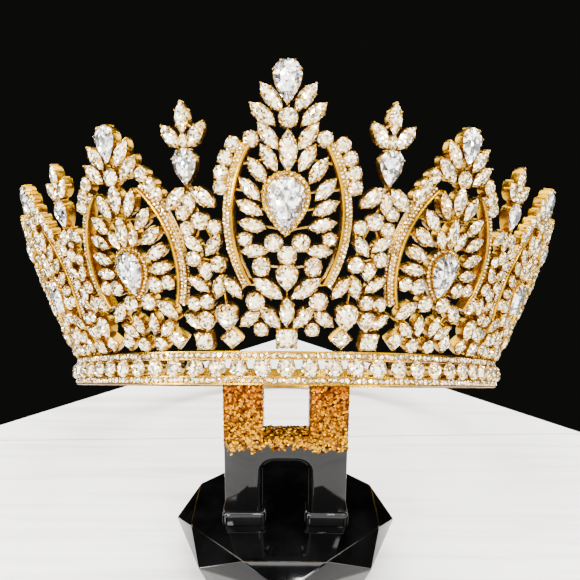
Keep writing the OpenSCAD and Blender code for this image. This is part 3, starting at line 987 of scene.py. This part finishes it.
@dataclass
class Band:
    """The band: two rims with round settings between them, stones, pave rows and beads.

    The rim's foot and head give, from its face and its lower or upper edge, how far out and how
    high each corner is. A cup's level gives its size, its height, and whether that is measured
    from the girdle of its stone.
    """

    stones: int = 75
    stone_d: float = 4.5
    cup_d: float = 4.2
    cup_sides: int = 16
    cup_levels: tuple[Triple, ...] = (
        (0.86, -1.8, 0), (0.96, -0.3, 0), (1.0, -0.1, 1), (0.9, -0.2, 1), (0.68, -1.8, 0),
    )
    face_r: float = 71.7
    rim_r: float = 72.0
    rim_h: float = 2.2
    rim_foot: tuple[Pair, ...] = ((-0.1, 0.0), (0.08, 0.06), (0.08, 0.24), (-0.08, 0.32))
    rim_head: tuple[Pair, ...] = ((-0.08, -0.22), (0.0, -0.16), (0.0, 0.0))
    wall: float = 2.2
    channel_depth: float = 1.0
    open_gaps: int = 40
    facet: float = 1.2
    rim_heights: Pair = (1.15, 7.45)
    pave_count: int = 288
    pave_d: float = 1.56
    pave_sink: float = 0.05
    bead_offsets: Pair = (-0.62, 0.62)
    flare: Flare = Flare()
    gold: Goldwork = Goldwork()

    def spot(self, degrees: float, r: float, height: float) -> np.ndarray:
        """Returns a frame on the band's outer side, with Z outwards."""
        return self.flare.crown() @ turn_z(degrees) @ move(0, -r, height) @ turn_x(90)

    def setting(self, number: int) -> np.ndarray:
        """Returns the frame of one round setting, counted from the front."""
        return self.spot(number * 360 / self.stones, self.face_r, self.flare.band_h / 2)

    def metal(self) -> MeshPile:
        """Builds the rims, the settings between them and the closed floor at the rear.

        Returns:
            The pile of metal.
        """
        pile, top, back, rim = MeshPile(), self.flare.band_h, self.rim_r - self.wall, self.rim_h
        channel = self.rim_r - self.channel_depth
        outer = [(self.rim_r + out, z) for out, z in self.rim_foot]
        outer += [(self.rim_r + out, rim + z) for out, z in self.rim_head]
        lower = [(back, 0.0), *outer, (channel, rim), (back, rim)]
        self.revolve(pile, lower)
        self.revolve(pile, [(r, top - z) for r, z in lower[::-1]])
        first = (self.open_gaps + 1) * 180 / self.stones
        floor = [(back, rim), (channel, rim), (channel, top - rim), (back, top - rim)]
        self.revolve(pile, floor, first, 360 - first)
        girdle = self.gold.stones.girdle(self.stone_d)
        cup = (self.cup_d, self.cup_d)
        for i in range(self.stones):
            rings = [
                ring(ROUND, self.cup_sides, cup, scale, z + girdle * from_girdle)
                for scale, z, from_girdle in self.cup_levels
            ]
            pile.skin(rings, self.setting(i), closed=True)
        return pile

    def revolve(self, pile: MeshPile, profile: list[Pair], first: float = 0.0, last: float = 360.0) -> None:
        """Adds a ring, or a stretch of one, with the same profile all the way.

        Args:
            pile: The pile of metal.
            profile: The distance from the axis and the height of each corner.
            first: Where it starts, in degrees from the front.
            last: Where it ends, 360 degrees on for a whole ring.
        """
        steps, count = round((last - first) / self.facet), len(profile)
        whole = last - first >= 360
        r, z = np.array(profile).T
        angles = np.radians(first + (last - first) * np.arange(steps if whole else steps + 1) / steps)
        points = [np.column_stack([r * math.sin(a), -r * math.cos(a), z]) for a in angles]
        faces: Faces = []
        for k in range(steps):
            a, b = k * count, (k + 1) % len(points) * count
            faces += [(a + i, b + i, b + (i + 1) % count, a + (i + 1) % count) for i in range(count)]
        if not whole:
            faces += [tuple(range(count)), tuple(steps * count + i for i in range(count - 1, -1, -1))]
        pile.add(np.concatenate(points), faces, self.flare.crown())

    def build(self, finishes: "Finishes", seed: int) -> list[Object]:
        """Builds the metal of the band and the stones, prongs and beads on it.

        Args:
            finishes: The finishes of the crown.
            seed: The seed of the stones' shades.

        Returns:
            The pieces.
        """
        rng = np.random.default_rng(seed)
        rounds, pave, prongs, beads = MeshPile(), MeshPile(), MeshPile(), MeshPile()
        seat = Seat(0, 0, self.stone_d, self.stone_d, 0, ROUND, SMALL, 0)
        for i in range(self.stones):
            self.gold.stones.cut_stone(rounds, seat, self.setting(i), rng)
            for turn in PRONG_TURNS[ROUND]:
                self.gold.prong(prongs, seat, turn, self.setting(i))
        step = 360 / self.pave_count
        for i in range(self.pave_count):
            for height in self.rim_heights:
                here = self.spot(i * step, self.rim_r, height) @ move(0, 0, -self.pave_sink)
                self.gold.stones.pave_stone(pave, self.pave_d, here, rng)
                for offset in self.bead_offsets:
                    gap = self.spot((i + 0.5) * step, self.rim_r, height) @ move(0, offset, 0)
                    self.gold.bead(beads, self.gold.bead_r, gap)
        made = [
            rounds.piece("band_round_stones", finishes.stone, smooth=False),
            pave.piece("band_pave_stones", finishes.stone, smooth=False),
            prongs.piece("band_prongs", finishes.gold, smooth=True),
            beads.piece("band_beads", finishes.gold, smooth=True),
            self.metal().piece("band_metal", finishes.gold, smooth=True),
        ]
        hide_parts("band")
        return made


@dataclass(frozen=True)
class Chip:
    """One amber chip: a squashed and uneven gem of eight faces."""

    jitter: float = 0.3
    slant: Point = (0.3, 0.5, 0.81)
    sizes: Pair = (0.4, 0.85)
    slim: float = 0.8
    tilts: Pair = (-0.16, 0.3)
    tilt_share: float = 0.5
    peaks: Pair = (0.1, 0.22)
    root: float = 0.3
    sink: float = 0.04
    shade_play: float = 0.12

    def add(self, pile: MeshPile, spot: Point, out: Point, rng: Draws) -> None:
        """Adds the chip.

        Args:
            pile: The pile of chips.
            spot: Where it lies.
            out: The way that its face of the upright looks.
            rng: The draws for its shape, turn and shade.
        """
        normal = np.array(out, dtype=float)
        jitter = rng.uniform(-self.jitter, self.jitter, 3) * (1 - np.abs(normal))
        first = np.cross(normal, self.slant)
        first /= np.linalg.norm(first)
        second = np.cross(normal, first)
        spin = rng.uniform(0, 2 * math.pi)
        u = first * math.cos(spin) + second * math.sin(spin)
        v = np.cross(normal, u)
        sizes, tilts = rng.uniform(*self.sizes, 4), rng.uniform(*self.tilts, 4)
        arms = zip((u, v, -u, -v), sizes, (1.0, self.slim, 1.0, self.slim), tilts)
        corners = [arm * size * slim + normal * tilt * self.tilt_share for arm, size, slim, tilt in arms]
        corners += [normal * rng.uniform(*self.peaks), -normal * self.root]
        points = np.array(corners) + np.array(spot) + jitter - normal * self.sink
        faces: Faces = []
        for i in range(4):
            j = (i + 1) % 4
            faces += [(i, j, 4), (j, i, 5)]
        shade = rng.random()
        play = rng.uniform(-self.shade_play, self.shade_play, len(faces))
        pile.add(points, faces, np.eye(4), [min(1, max(0, shade + d)) for d in play])


@dataclass
class Stand:
    """The gem-cut base, the upright and the amber chips set in it.

    A socket's level gives how far in and how high it is. The chips keep off the ends of each face
    by the distances at its low and high end, and their lower line waves.
    """

    base_sides: int = 8
    base_h: float = 17.5
    girdle_h: float = 13.1
    girdle_t: float = 0.4
    top_r: float = 26.9
    girdle_r: float = 30.4
    foot_r: float = 25.0
    foot_h: float = 1.0
    bevel: float = 0.35
    bevel_steps: int = 3
    bevel_from: float = 20.0
    sharp_from: float = 24.0
    upright_w: float = 31.8
    upright_t: float = 6.3
    upright_y: float = -9.5
    notch_w: float = 12.0
    notch_floor: float = 43.0
    arch_top: float = 35.4
    arch_r: float = 3.0
    arch_rim: float = 1.2
    arch_step: int = 15
    socket_h: float = 3.4
    socket_rim: float = 0.9
    socket_r: float = 1.8
    socket_sides: int = 24
    socket_levels: tuple[Pair, ...] = (
        (0.0, 0.0), (0.0, 0.64), (-0.07, 0.78), (-0.24, 0.9), (-0.5, 0.97), (-0.85, 1.0),
    )
    gap: float = 0.12
    chips_from: float = 39.2
    chip_step: float = 0.6
    chip_wave: float = 0.9
    chip_ripples: Pair = (1.7, 0.6)
    chip_bridge: float = 0.7
    chip_fray: float = 0.5
    face_across: Pair = (0.6, 0.45)
    face_up: Pair = (-1.5, 0.3)
    side_deep: Pair = (0.5, 0.3)
    side_up: Pair = (0.3, 0.3)
    floor_across: Pair = (0.3, 0.2)
    floor_deep: Pair = (0.9, 0.6)
    notch_clear: Pair = (0.3, 0.35)
    one_chip: Chip = Chip()
    flare: Flare = Flare()

    def build(self, finishes: "Finishes", seed: int) -> list[Object]:
        """Builds the base, the upright and its chips.

        Args:
            finishes: The finishes of the stand.
            seed: The seed of the chips.

        Returns:
            The pieces.
        """
        base = self.base(finishes)
        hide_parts("stand_base")
        upright = self.upright(finishes)
        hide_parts("stand_upright")
        sockets = self.sockets(finishes)
        chips = self.chips(finishes, np.random.default_rng(seed))
        return [base, upright, sockets, chips]

    def soften(self, thing: Object) -> Object:
        """Rounds the edges of a piece and applies the result.

        Args:
            thing: The piece.

        Returns:
            The same piece.
        """
        bevel = thing.modifiers.new("edges", "BEVEL")
        bevel.width = self.bevel * MM
        bevel.segments = self.bevel_steps
        bevel.limit_method = "ANGLE"
        bevel.angle_limit = math.radians(self.bevel_from)
        graph = bpy.context.evaluated_depsgraph_get()
        mesh = bpy.data.meshes.new_from_object(thing.evaluated_get(graph))
        thing.modifiers.clear()
        thing.data = mesh
        mesh.shade_smooth()
        mesh.set_sharp_from_angle(angle=math.radians(self.sharp_from))
        return thing

    def base(self, finishes: "Finishes") -> Object:
        """Builds the gem-cut base from its octagons.

        Args:
            finishes: The finishes of the stand.

        Returns:
            The base.
        """
        octagons = (
            (self.foot_r, 0.0, 0.0), (self.foot_r, self.foot_h, 0.0),
            (self.girdle_r, self.girdle_h - self.girdle_t, 0.0), (self.girdle_r, self.girdle_h, 0.0),
            (self.top_r, self.base_h, 0.5),
        )
        n = self.base_sides
        # Triangles join the girdle to the top, which is turned by half a side
        girdle, top = 3 * n, 4 * n
        faces: Faces = [tuple(range(n - 1, -1, -1)), tuple(range(top, top + n))]
        for i in range(n):
            j = (i + 1) % n
            faces += [(k + i, k + j, k + n + j, k + n + i) for k in range(0, girdle, n)]
            faces += [(girdle + i, girdle + j, top + i), (girdle + j, top + j, top + i)]
        pile = MeshPile()
        points = np.concatenate([level(r * spokes(n, turn), z) for r, z, turn in octagons])
        pile.add(points, faces, np.eye(4))
        return self.soften(pile.piece("stand_base_dressed", finishes.black, smooth=True))

    def outline(self, y: float, grow: float) -> np.ndarray:
        """Draws the upright's outline, whose tops slope with the foot of the band.

        Args:
            y: The distance from the front.
            grow: How much wider and higher the arch is than in the back.

        Returns:
            Its corners, counter-clockwise from the lower right.
        """
        half, inner, r = self.upright_w / 2, self.notch_w / 2, self.arch_r
        low, high, floor = self.base_h + self.gap, self.top_at(y), self.notch_floor
        wide, spring = r + grow, self.arch_top - r
        arc = np.radians(range(0, 90 + self.arch_step, self.arch_step))
        right = [(inner - r + wide * math.cos(a), spring + wide * math.sin(a)) for a in arc]
        left = [(-x, z) for x, z in right]
        corners = [
            (half, low), (half, high), (inner, high), (inner, floor), (-inner, floor), (-inner, high),
            (-half, high), (-half, low), (-inner - grow, low), *left, *right[::-1], (inner + grow, low),
        ]
        return np.insert(corners, 1, y, axis=1)

    def upright(self, finishes: "Finishes") -> Object:
        """Builds the upright plate.

        Args:
            finishes: The finishes of the stand.

        Returns:
            The upright.
        """
        front, back = self.upright_y, self.upright_y + self.upright_t
        levels = ((front, self.arch_rim), (front + self.arch_rim, 0.0), (back, 0.0))
        pile = MeshPile()
        pile.skin([self.outline(y, grow) for y, grow in levels], np.eye(4), clockwise=True)
        return self.soften(pile.piece("stand_upright_dressed", finishes.upright, smooth=False))

    def sockets(self, finishes: "Finishes") -> Object:
        """Builds the low sockets round the legs, with domed shoulders.

        Args:
            finishes: The finishes of the stand.

        Returns:
            Both sockets, joined.
        """
        pile, rings = MeshPile(), []
        leg_w = (self.upright_w - self.notch_w) / 2
        around = spokes(self.socket_sides, 0.5)
        for inset, share in self.socket_levels:
            grow, r = self.socket_rim + inset, self.socket_r + inset
            reach = np.array([leg_w / 2 + grow - r, self.upright_t / 2 + grow - r])
            z = self.base_h + self.gap + share * self.socket_h
            rings.append(level(np.sign(around) * reach + r * around, z))
        for x in (-(self.notch_w + leg_w) / 2, (self.notch_w + leg_w) / 2):
            pile.skin(rings, move(x, self.upright_y + self.upright_t / 2, 0))
        return pile.piece("stand_sockets", finishes.black, smooth=True)

    def top_at(self, y: float) -> float:
        """Finds where the foot of the band meets the upright.

        Args:
            y: The distance from the front.

        Returns:
            The height of the sloping tops there.
        """
        crown = self.flare.crown()
        foot, normal = crown[:3, 3] - self.gap * crown[:3, 2], crown[:3, 2]
        return float(foot[2] - normal[1] * (y - foot[1]) / normal[2])

    def spread(self, low: float, high: float, ends: Pair) -> np.ndarray:
        """Returns places a chip's step apart, at a distance from a low and a high end."""
        return np.arange(low + ends[0], high - ends[1], self.chip_step)

    def chip_line(self, x: float) -> float:
        """Draws the waving line that the chips begin at.

        Args:
            x: The distance from the stand's middle.

        Returns:
            The height of the line there.
        """
        fine, broad = self.chip_ripples
        wave = self.chip_wave * math.sin(fine * x) * math.sin(broad * x + 1)
        return self.chips_from + wave + self.chip_bridge * (abs(x) < self.notch_w / 2)

    def chips(self, finishes: "Finishes", rng: Draws) -> Object:
        """Scatters amber chips over the upper part of the upright, on all its faces.

        Args:
            finishes: The finishes of the stand.
            rng: The draws for the chips.

        Returns:
            The chips, joined.
        """
        pile, chip, half, inner = MeshPile(), self.one_chip, self.upright_w / 2, self.notch_w / 2
        front, back, floor = self.upright_y, self.upright_y + self.upright_t, self.notch_floor
        line, (aside, under) = self.chips_from, self.notch_clear
        for y, out in ((front, -1), (back, 1)):
            for x in self.spread(-half, half, self.face_across):
                for z in self.spread(line, self.top_at(y), self.face_up):
                    in_notch = abs(x) < inner + aside and z > floor - under
                    if not in_notch and z >= self.chip_line(x) - self.chip_fray * rng.random():
                        chip.add(pile, (x, y, z), (0, out, 0), rng)
        for x, out, low in ((half, 1, line), (-half, -1, line), (inner, -1, floor), (-inner, 1, floor)):
            for y in self.spread(front, back, self.side_deep):
                for z in self.spread(low, self.top_at(y), self.side_up):
                    chip.add(pile, (x, y, z), (out, 0, 0), rng)
        for x in self.spread(-inner, inner, self.floor_across):
            for y in self.spread(front, back, self.floor_deep):
                chip.add(pile, (x, y, floor), (0, 0, 1), rng)
        return pile.piece("stand_amber_chips", finishes.chips, smooth=False)


class Nodes:
    """A material's node tree, with short calls to add and feed nodes."""

    def __init__(self, name: str) -> None:
        """Starts a new material.

        Args:
            name: The material's name.
        """
        self.material = bpy.data.materials.new(name)
        self.material.use_nodes = True
        self.tree = self.material.node_tree
        self.shader = self.tree.nodes["Principled BSDF"]

    def feed(self, node: Node, values: dict[str | int, object]) -> None:
        """Sets some of a node's sockets.

        Args:
            node: The node.
            values: For each socket a fixed value, or the socket that it is linked to.
        """
        for key, value in values.items():
            if isinstance(value, NodeSocket):
                self.tree.links.new(value, node.inputs[key])
            else:
                node.inputs[key].default_value = value

    def add(self, kind: str, values: dict[str | int, object], out: str, **settings: object) -> NodeSocket:
        """Adds a node.

        Args:
            kind: The node's type, without its common prefix.
            values: What feeds its sockets.
            out: The result that is wanted.
            settings: Its attributes.

        Returns:
            The socket of that result.
        """
        node = self.tree.nodes.new(f"ShaderNode{kind}")
        for key, value in settings.items():
            setattr(node, key, value)
        self.feed(node, values)
        return node.outputs[out]

    def place(self) -> NodeSocket:
        """Returns the place on the surface, in the object's own space."""
        return self.add("TexCoord", {}, "Object")

    def facet(self) -> NodeSocket:
        """Returns the shade that each face was given."""
        return self.add("Attribute", {}, "Fac", attribute_name="facet")

    def noise(self, scale: float, detail: float = 3.0, place: NodeSocket | None = None) -> NodeSocket:
        """Adds a noise texture.

        Args:
            scale: Waves to the metre.
            detail: Octaves.
            place: Where it is read, the object's own space if left out.

        Returns:
            Its factor.
        """
        vector = self.place() if place is None else place
        return self.add("TexNoise", {"Scale": scale, "Detail": detail, "Vector": vector}, "Fac")

    def ramp(self, value: NodeSocket, stops: Stops) -> NodeSocket:
        """Turns a value into a colour.

        Args:
            value: The value.
            stops: Places and colours.

        Returns:
            The colour.
        """
        colour = self.add("ValToRGB", {"Fac": value}, "Color")
        elements = colour.node.color_ramp.elements
        while len(elements) < len(stops):
            elements.new(0.5)
        for element, (place, rgb) in zip(elements, stops):
            element.position = place
            element.color = (*rgb, 1.0)
        return colour

    def span(self, value: NodeSocket, ends: Pair) -> NodeSocket:
        """Returns a value from 0 to 1, mapped to a range."""
        return self.add("MapRange", {"To Min": ends[0], "To Max": ends[1], "Value": value}, "Result")

    def height(self, ends: Pair) -> NodeSocket:
        """Returns how far up the surface is between two heights, from 0 to 1."""
        z = self.add("SeparateXYZ", {"Vector": self.place()}, "Z")
        return self.add("MapRange", {"From Min": ends[0], "From Max": ends[1], "Value": z}, "Result")

    def tilt(self, draws: NodeSocket, amount: float) -> None:
        """Tilts the surface by random draws, as the facets inside a stone do.

        Args:
            draws: Three numbers from 0 to 1.
            amount: How far they tilt it.
        """
        normal = self.add("NewGeometry", {}, "Normal")
        centred = self.add("VectorMath", {0: draws, 1: (0.5, 0.5, 0.5)}, "Vector", operation="SUBTRACT")
        scaled = self.add("VectorMath", {0: centred, "Scale": amount}, "Vector", operation="SCALE")
        summed = self.add("VectorMath", {0: scaled, 1: normal}, "Vector", operation="ADD")
        unit = self.add("VectorMath", {0: summed}, "Vector", operation="NORMALIZE")
        self.feed(self.shader, {"Normal": unit})

    def bump(self, value: NodeSocket, distance: float) -> None:
        """Raises the surface by a value from 0 to 1, which means that distance in metres."""
        normal = self.add("Bump", {"Distance": distance, "Height": value}, "Normal")
        self.feed(self.shader, {"Normal": normal})


@dataclass(frozen=True)
class Finish:
    """A finish: the name of its material, and what each kind lays on the shader."""

    name: str

    def lay(self, nodes: Nodes) -> None:
        """Feeds the shader, each kind of finish in its own way."""
        raise NotImplementedError

    def material(self) -> Material:
        """Makes the finish a material.

        Returns:
            The material.
        """
        nodes = Nodes(self.name)
        self.lay(nodes)
        return nodes.material


@dataclass(frozen=True)
class GoldFinish(Finish):
    """Polished yellow gold plate with slight changes of colour and polish."""

    name: str = "gold_plate"
    stops: Stops = ((0.3, (0.25, 0.12, 0.0)), (0.65, (0.50, 0.27, 0.0)))
    patches: float = 220.0
    polish: Pair = (0.14, 0.34)
    wear: float = 900.0
    grain: float = 2600.0
    relief: float = 0.00004

    def lay(self, nodes: Nodes) -> None:
        """Lays the colour, the polish and the fine grain.

        Args:
            nodes: The material's nodes.
        """
        nodes.feed(nodes.shader, {
            "Base Color": nodes.ramp(nodes.noise(self.patches, detail=2), self.stops),
            "Roughness": nodes.span(nodes.noise(self.wear), self.polish),
            "Metallic": 1.0,
        })
        nodes.bump(nodes.noise(self.grain, detail=2), self.relief)


@dataclass(frozen=True)
class StoneFinish(Finish):
    """A clear cut stone over a bright seat; its base colour paints the light that its facets throw back,
    unevenly, as painted reflections.
    """

    stops: Stops
    cells: float = 1600.0
    share: float = 0.5
    tilt: float = 0.9
    polish: Pair = (0.03, 0.14)
    ior: float = 1.9
    metallic: float = 0.8

    def lay(self, nodes: Nodes) -> None:
        """Paints reflections into the base colour: a shade for each facet, and for smaller facets inside
        them.

        Args:
            nodes: The material's nodes.
        """
        cells = nodes.add("TexVoronoi", {"Scale": self.cells, "Vector": nodes.place()}, "Color")
        red = nodes.add("SeparateColor", {"Color": cells}, "Red")
        green = red.node.outputs["Green"]
        mixed = nodes.add("Mix", {"Factor": self.share, "A": nodes.facet(), "B": red}, "Result")
        # The base colour is painted reflection: light and dark facets and cells over the stone's own tint
        nodes.feed(nodes.shader, {
            "Base Color": nodes.ramp(mixed, self.stops),
            "Roughness": nodes.span(green, self.polish),
            "IOR": self.ior,
            "Metallic": self.metallic,
        })
        nodes.tilt(cells, self.tilt)


@dataclass(frozen=True)
class ResinFinish(Finish):
    """Glossy black cast resin with faint dust and waves."""

    name: str = "black_resin"
    stops: Stops = ((0.4, (0.0004, 0.0004, 0.0004)), (0.7, (0.002, 0.002, 0.0022)))
    dust: float = 90.0
    polish: Pair = (0.03, 0.09)
    wear: float = 600.0
    ior: float = 1.38
    waves: float = 60.0
    relief: float = 0.00003

    def lay(self, nodes: Nodes) -> None:
        """Lays the dust, the gloss and the waves.

        Args:
            nodes: The material's nodes.
        """
        nodes.feed(nodes.shader, {
            "Base Color": nodes.ramp(nodes.noise(self.dust), self.stops),
            "Roughness": nodes.span(nodes.noise(self.wear), self.polish),
            "IOR": self.ior,
        })
        nodes.bump(nodes.noise(self.waves, detail=1), self.relief)


@dataclass(frozen=True)
class UprightFinish(Finish):
    """Glossy cast resin, black below and a deep amber behind the chips."""

    name: str = "upright_resin"
    stops: Stops = ((0.0, (0.001, 0.001, 0.001)), (1.0, (0.06, 0.016, 0.0)))
    ends: Pair = (0.0400, 0.0424)
    polish: Pair = (0.03, 0.1)
    wear: float = 500.0
    ior: float = 1.34

    def lay(self, nodes: Nodes) -> None:
        """Lays black and amber, which reflects in its own colour, as gold leaf does.

        Args:
            nodes: The material's nodes.
        """
        height = nodes.height(self.ends)
        nodes.feed(nodes.shader, {
            "Base Color": nodes.ramp(height, self.stops),
            "Metallic": height,
            "Roughness": nodes.span(nodes.noise(self.wear), self.polish),
            "IOR": self.ior,
        })


@dataclass(frozen=True)
class ChipFinish(Finish):
    """Amber and gold-leaf chips, burnt orange at the top and golden yellow at the bottom."""

    name: str = "amber_chips"
    upper: Stops = (
        (0.0, (0.008, 0.0008, 0.0)), (0.3, (0.08, 0.014, 0.0)), (0.65, (0.25, 0.062, 0.0)),
        (1.0, (0.50, 0.19, 0.0)),
    )
    lower: Stops = (
        (0.0, (0.012, 0.002, 0.0)), (0.3, (0.17, 0.05, 0.0)), (0.65, (0.36, 0.15, 0.0)),
        (1.0, (0.66, 0.36, 0.0)),
    )
    ends: Pair = (0.040, 0.054)
    polish: Pair = (0.18, 0.36)
    wear: float = 1200.0

    def lay(self, nodes: Nodes) -> None:
        """Lays the shades of the chips, which change on the way up.

        Args:
            nodes: The material's nodes.
        """
        facet = nodes.facet()
        low, high = nodes.ramp(facet, self.lower), nodes.ramp(facet, self.upper)
        shades = {"Factor": nodes.height(self.ends), "A": low, "B": high}
        nodes.feed(nodes.shader, {
            "Base Color": nodes.add("Mix", shades, "Result", data_type="RGBA"),
            "Roughness": nodes.span(nodes.noise(self.wear), self.polish),
            "Metallic": 1.0,
        })


@dataclass(frozen=True)
class TableFinish(Finish):
    """Pale painted boards with faint grain."""

    name: str = "pale_boards"
    paint: Stops = ((0.32, (0.76, 0.74, 0.71)), (0.52, (0.93, 0.92, 0.90)))
    seams: Stops = ((0.0, (0.35, 0.34, 0.33)), (0.004, (1.0, 1.0, 1.0)))
    grain: float = 3.0
    grain_detail: float = 6.0
    grain_stretch: Point = (3.0, 60.0, 60.0)
    board_turn: float = -2.4
    board_scale: float = 1.4
    board_phase: float = -2.055
    rough: float = 0.35

    def lay(self, nodes: Nodes) -> None:
        """Lays the grain and the seams between the boards.

        Args:
            nodes: The material's nodes.
        """
        place = nodes.place()
        stretched = nodes.add("Mapping", {"Scale": self.grain_stretch, "Vector": place}, "Vector")
        streaks = nodes.noise(self.grain, self.grain_detail, stretched)
        turn = (0.0, 0.0, math.radians(self.board_turn))
        turned = nodes.add("Mapping", {"Rotation": turn, "Vector": place}, "Vector")
        rows = {"Scale": self.board_scale, "Phase Offset": self.board_phase, "Vector": turned}
        boards = nodes.add("TexWave", rows, "Fac", wave_profile="SAW", bands_direction="Y")
        layers = {"Factor": 1.0, "A": nodes.ramp(streaks, self.paint), "B": nodes.ramp(boards, self.seams)}
        tinted = nodes.add("Mix", layers, "Result", data_type="RGBA", blend_type="MULTIPLY")
        nodes.feed(nodes.shader, {"Base Color": tinted, "Roughness": self.rough})


# The small stones' cream tint, with painted reflections of their facets from dark brown to white
WARM_TINT_AND_REFLECTION_STOPS: Stops = (
    (0.1, (0.12, 0.06, 0.008)), (0.26, (0.44, 0.26, 0.05)), (0.42, (0.74, 0.53, 0.22)),
    (0.56, (0.94, 0.80, 0.50)), (0.72, (1.0, 0.97, 0.87)),
)
# Painted reflections of the clear stones' facets, from dark grey to white
CLEAR_REFLECTION_STOPS: Stops = (
    (0.16, (0.05, 0.05, 0.05)), (0.32, (0.30, 0.27, 0.24)), (0.48, (0.66, 0.64, 0.61)),
    (0.66, (1.0, 1.0, 1.0)),
)


class Finishes:
    """Every finish of the crown, its stand and the table, made once."""

    def __init__(self) -> None:
        """Makes the materials."""
        self.gold = GoldFinish().material()
        self.stone = StoneFinish("warm_stone", WARM_TINT_AND_REFLECTION_STOPS).material()
        self.clear = StoneFinish("clear_stone", CLEAR_REFLECTION_STOPS, cells=1300.0, share=0.3).material()
        self.black = ResinFinish().material()
        self.upright = UprightFinish().material()
        self.chips = ChipFinish().material()
        self.table = TableFinish().material()


@dataclass(frozen=True)
class Lamp:
    """A soft square light that looks at the crown, in metres and watts."""

    name: str
    place: Point
    side: float
    power: float
    colour: Rgb = (1.0, 1.0, 1.0)
    aim: Point = (0.0, 0.03, 0.08)

    def hang(self) -> None:
        """Hangs the light."""
        data = bpy.data.lights.new(self.name, "AREA")
        data.size = self.side
        data.energy = self.power
        data.color = self.colour
        thing = show(self.name, data)
        look = Vector(self.aim) - Vector(self.place)
        thing.rotation_euler = look.to_track_quat("-Z", "Y").to_euler()
        thing.location = self.place
        thing.visible_camera = False


LAMPS = (
    Lamp("front", (0.0, -0.95, 0.50), 1.1, 15.0, (1.0, 0.99, 0.97)),
    Lamp("key", (-0.60, -0.45, 0.60), 0.6, 10.0, (1.0, 0.99, 0.96)),
    Lamp("fill", (0.65, -0.35, 0.45), 0.6, 8.0, (1.0, 0.97, 0.93)),
    Lamp("overhead", (0.0, 0.10, 0.85), 0.9, 23.0),
    Lamp("rear_left", (-0.55, 0.45, 0.35), 0.4, 5.0, (1.0, 0.98, 0.94)),
    Lamp("rear_right", (0.55, 0.45, 0.35), 0.4, 5.0, (1.0, 0.98, 0.94)),
    Lamp("glint_0", (0.38, -0.70, 0.60), 0.12, 5.0),
    Lamp("glint_1", (-0.34, -0.80, 0.38), 0.12, 5.0),
    Lamp("glint_2", (0.10, -0.55, 0.95), 0.12, 5.0),
    Lamp("glint_3", (-0.62, -0.30, 0.20), 0.12, 5.0),
)


@dataclass
class Studio:
    """The camera, the lights and the pale table top."""

    eye: Point = (0.0, -0.16124, 0.121)
    pitch: float = -14.5
    roll: float = 0.43
    lens: float = 40.37
    sensor: float = 36.0
    nearest: float = 0.005
    photo_side: int = 580
    axis_x: float = 287.0
    table_far: float = 0.199
    table_side: float = 0.75
    table_t: float = 0.02
    room: Rgb = (0.006, 0.006, 0.0055)

    def build(self, finishes: Finishes) -> None:
        """Builds the camera, the table top and the lights in a dark room.

        Args:
            finishes: The finishes, for the table top.
        """
        self.camera()
        self.table(finishes)
        for lamp in LAMPS:
            lamp.hang()
        world = bpy.data.worlds.new("dark_room")
        world.use_nodes = True
        world.node_tree.nodes["Background"].inputs["Color"].default_value = (*self.room, 1.0)
        bpy.context.scene.world = world

    def camera(self) -> None:
        """Sets up the camera at the photograph's viewing angle."""
        data = bpy.data.cameras.new("camera")
        data.lens = self.lens
        data.sensor_width = self.sensor
        data.shift_x = (self.photo_side / 2 - self.axis_x) / self.photo_side
        data.clip_start = self.nearest
        thing = show("camera", data)
        pitch, roll = math.radians(90 + self.pitch), math.radians(self.roll)
        turn = Matrix.Rotation(pitch, 4, "X") @ Matrix.Rotation(roll, 4, "Z")
        thing.matrix_world = Matrix.Translation(Vector(self.eye)) @ turn
        bpy.context.scene.camera = thing

    def table(self, finishes: Finishes) -> None:
        """Lays the table top, whose far corner lies behind the crown.

        Args:
            finishes: The finishes.
        """
        reach, far = self.table_side, self.table_far
        corners = [(0, far), (-reach, far - reach), (0, far - 2 * reach), (reach, far - reach)]
        points = [(x, y, z) for z in (-self.table_t, 0.0) for x, y in corners]
        faces = [(3, 2, 1, 0), (4, 5, 6, 7)] + [(i, (i + 1) % 4, 4 + (i + 1) % 4, 4 + i) for i in range(4)]
        mesh = bpy.data.meshes.new("table_top")
        mesh.from_pydata(points, [], faces)
        mesh.materials.append(finishes.table)
        thing = show("table_top", mesh)


def ride(things: list[Object]) -> None:
    """Makes pieces ride on the one body, and reports each.

    Args:
        things: The pieces.
    """
    for thing in things:
        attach(thing, "root")
        LOG.info("%s: %d faces", thing.name, len(thing.data.polygons))


def main() -> None:
    logging.basicConfig(level=logging.INFO, format="%(name)s: %(message)s")
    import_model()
    finishes = Finishes()
    Studio().build(finishes)
    ride(Stand().build(finishes, seed=STAND_SEED))
    ride(Band().build(finishes, seed=BAND_SEED))
    for number, unit in enumerate(Crown().units()):
        ride(unit.build(finishes, seed=FIRST_UNIT_SEED + number))


if __name__ == "__main__":
    main()
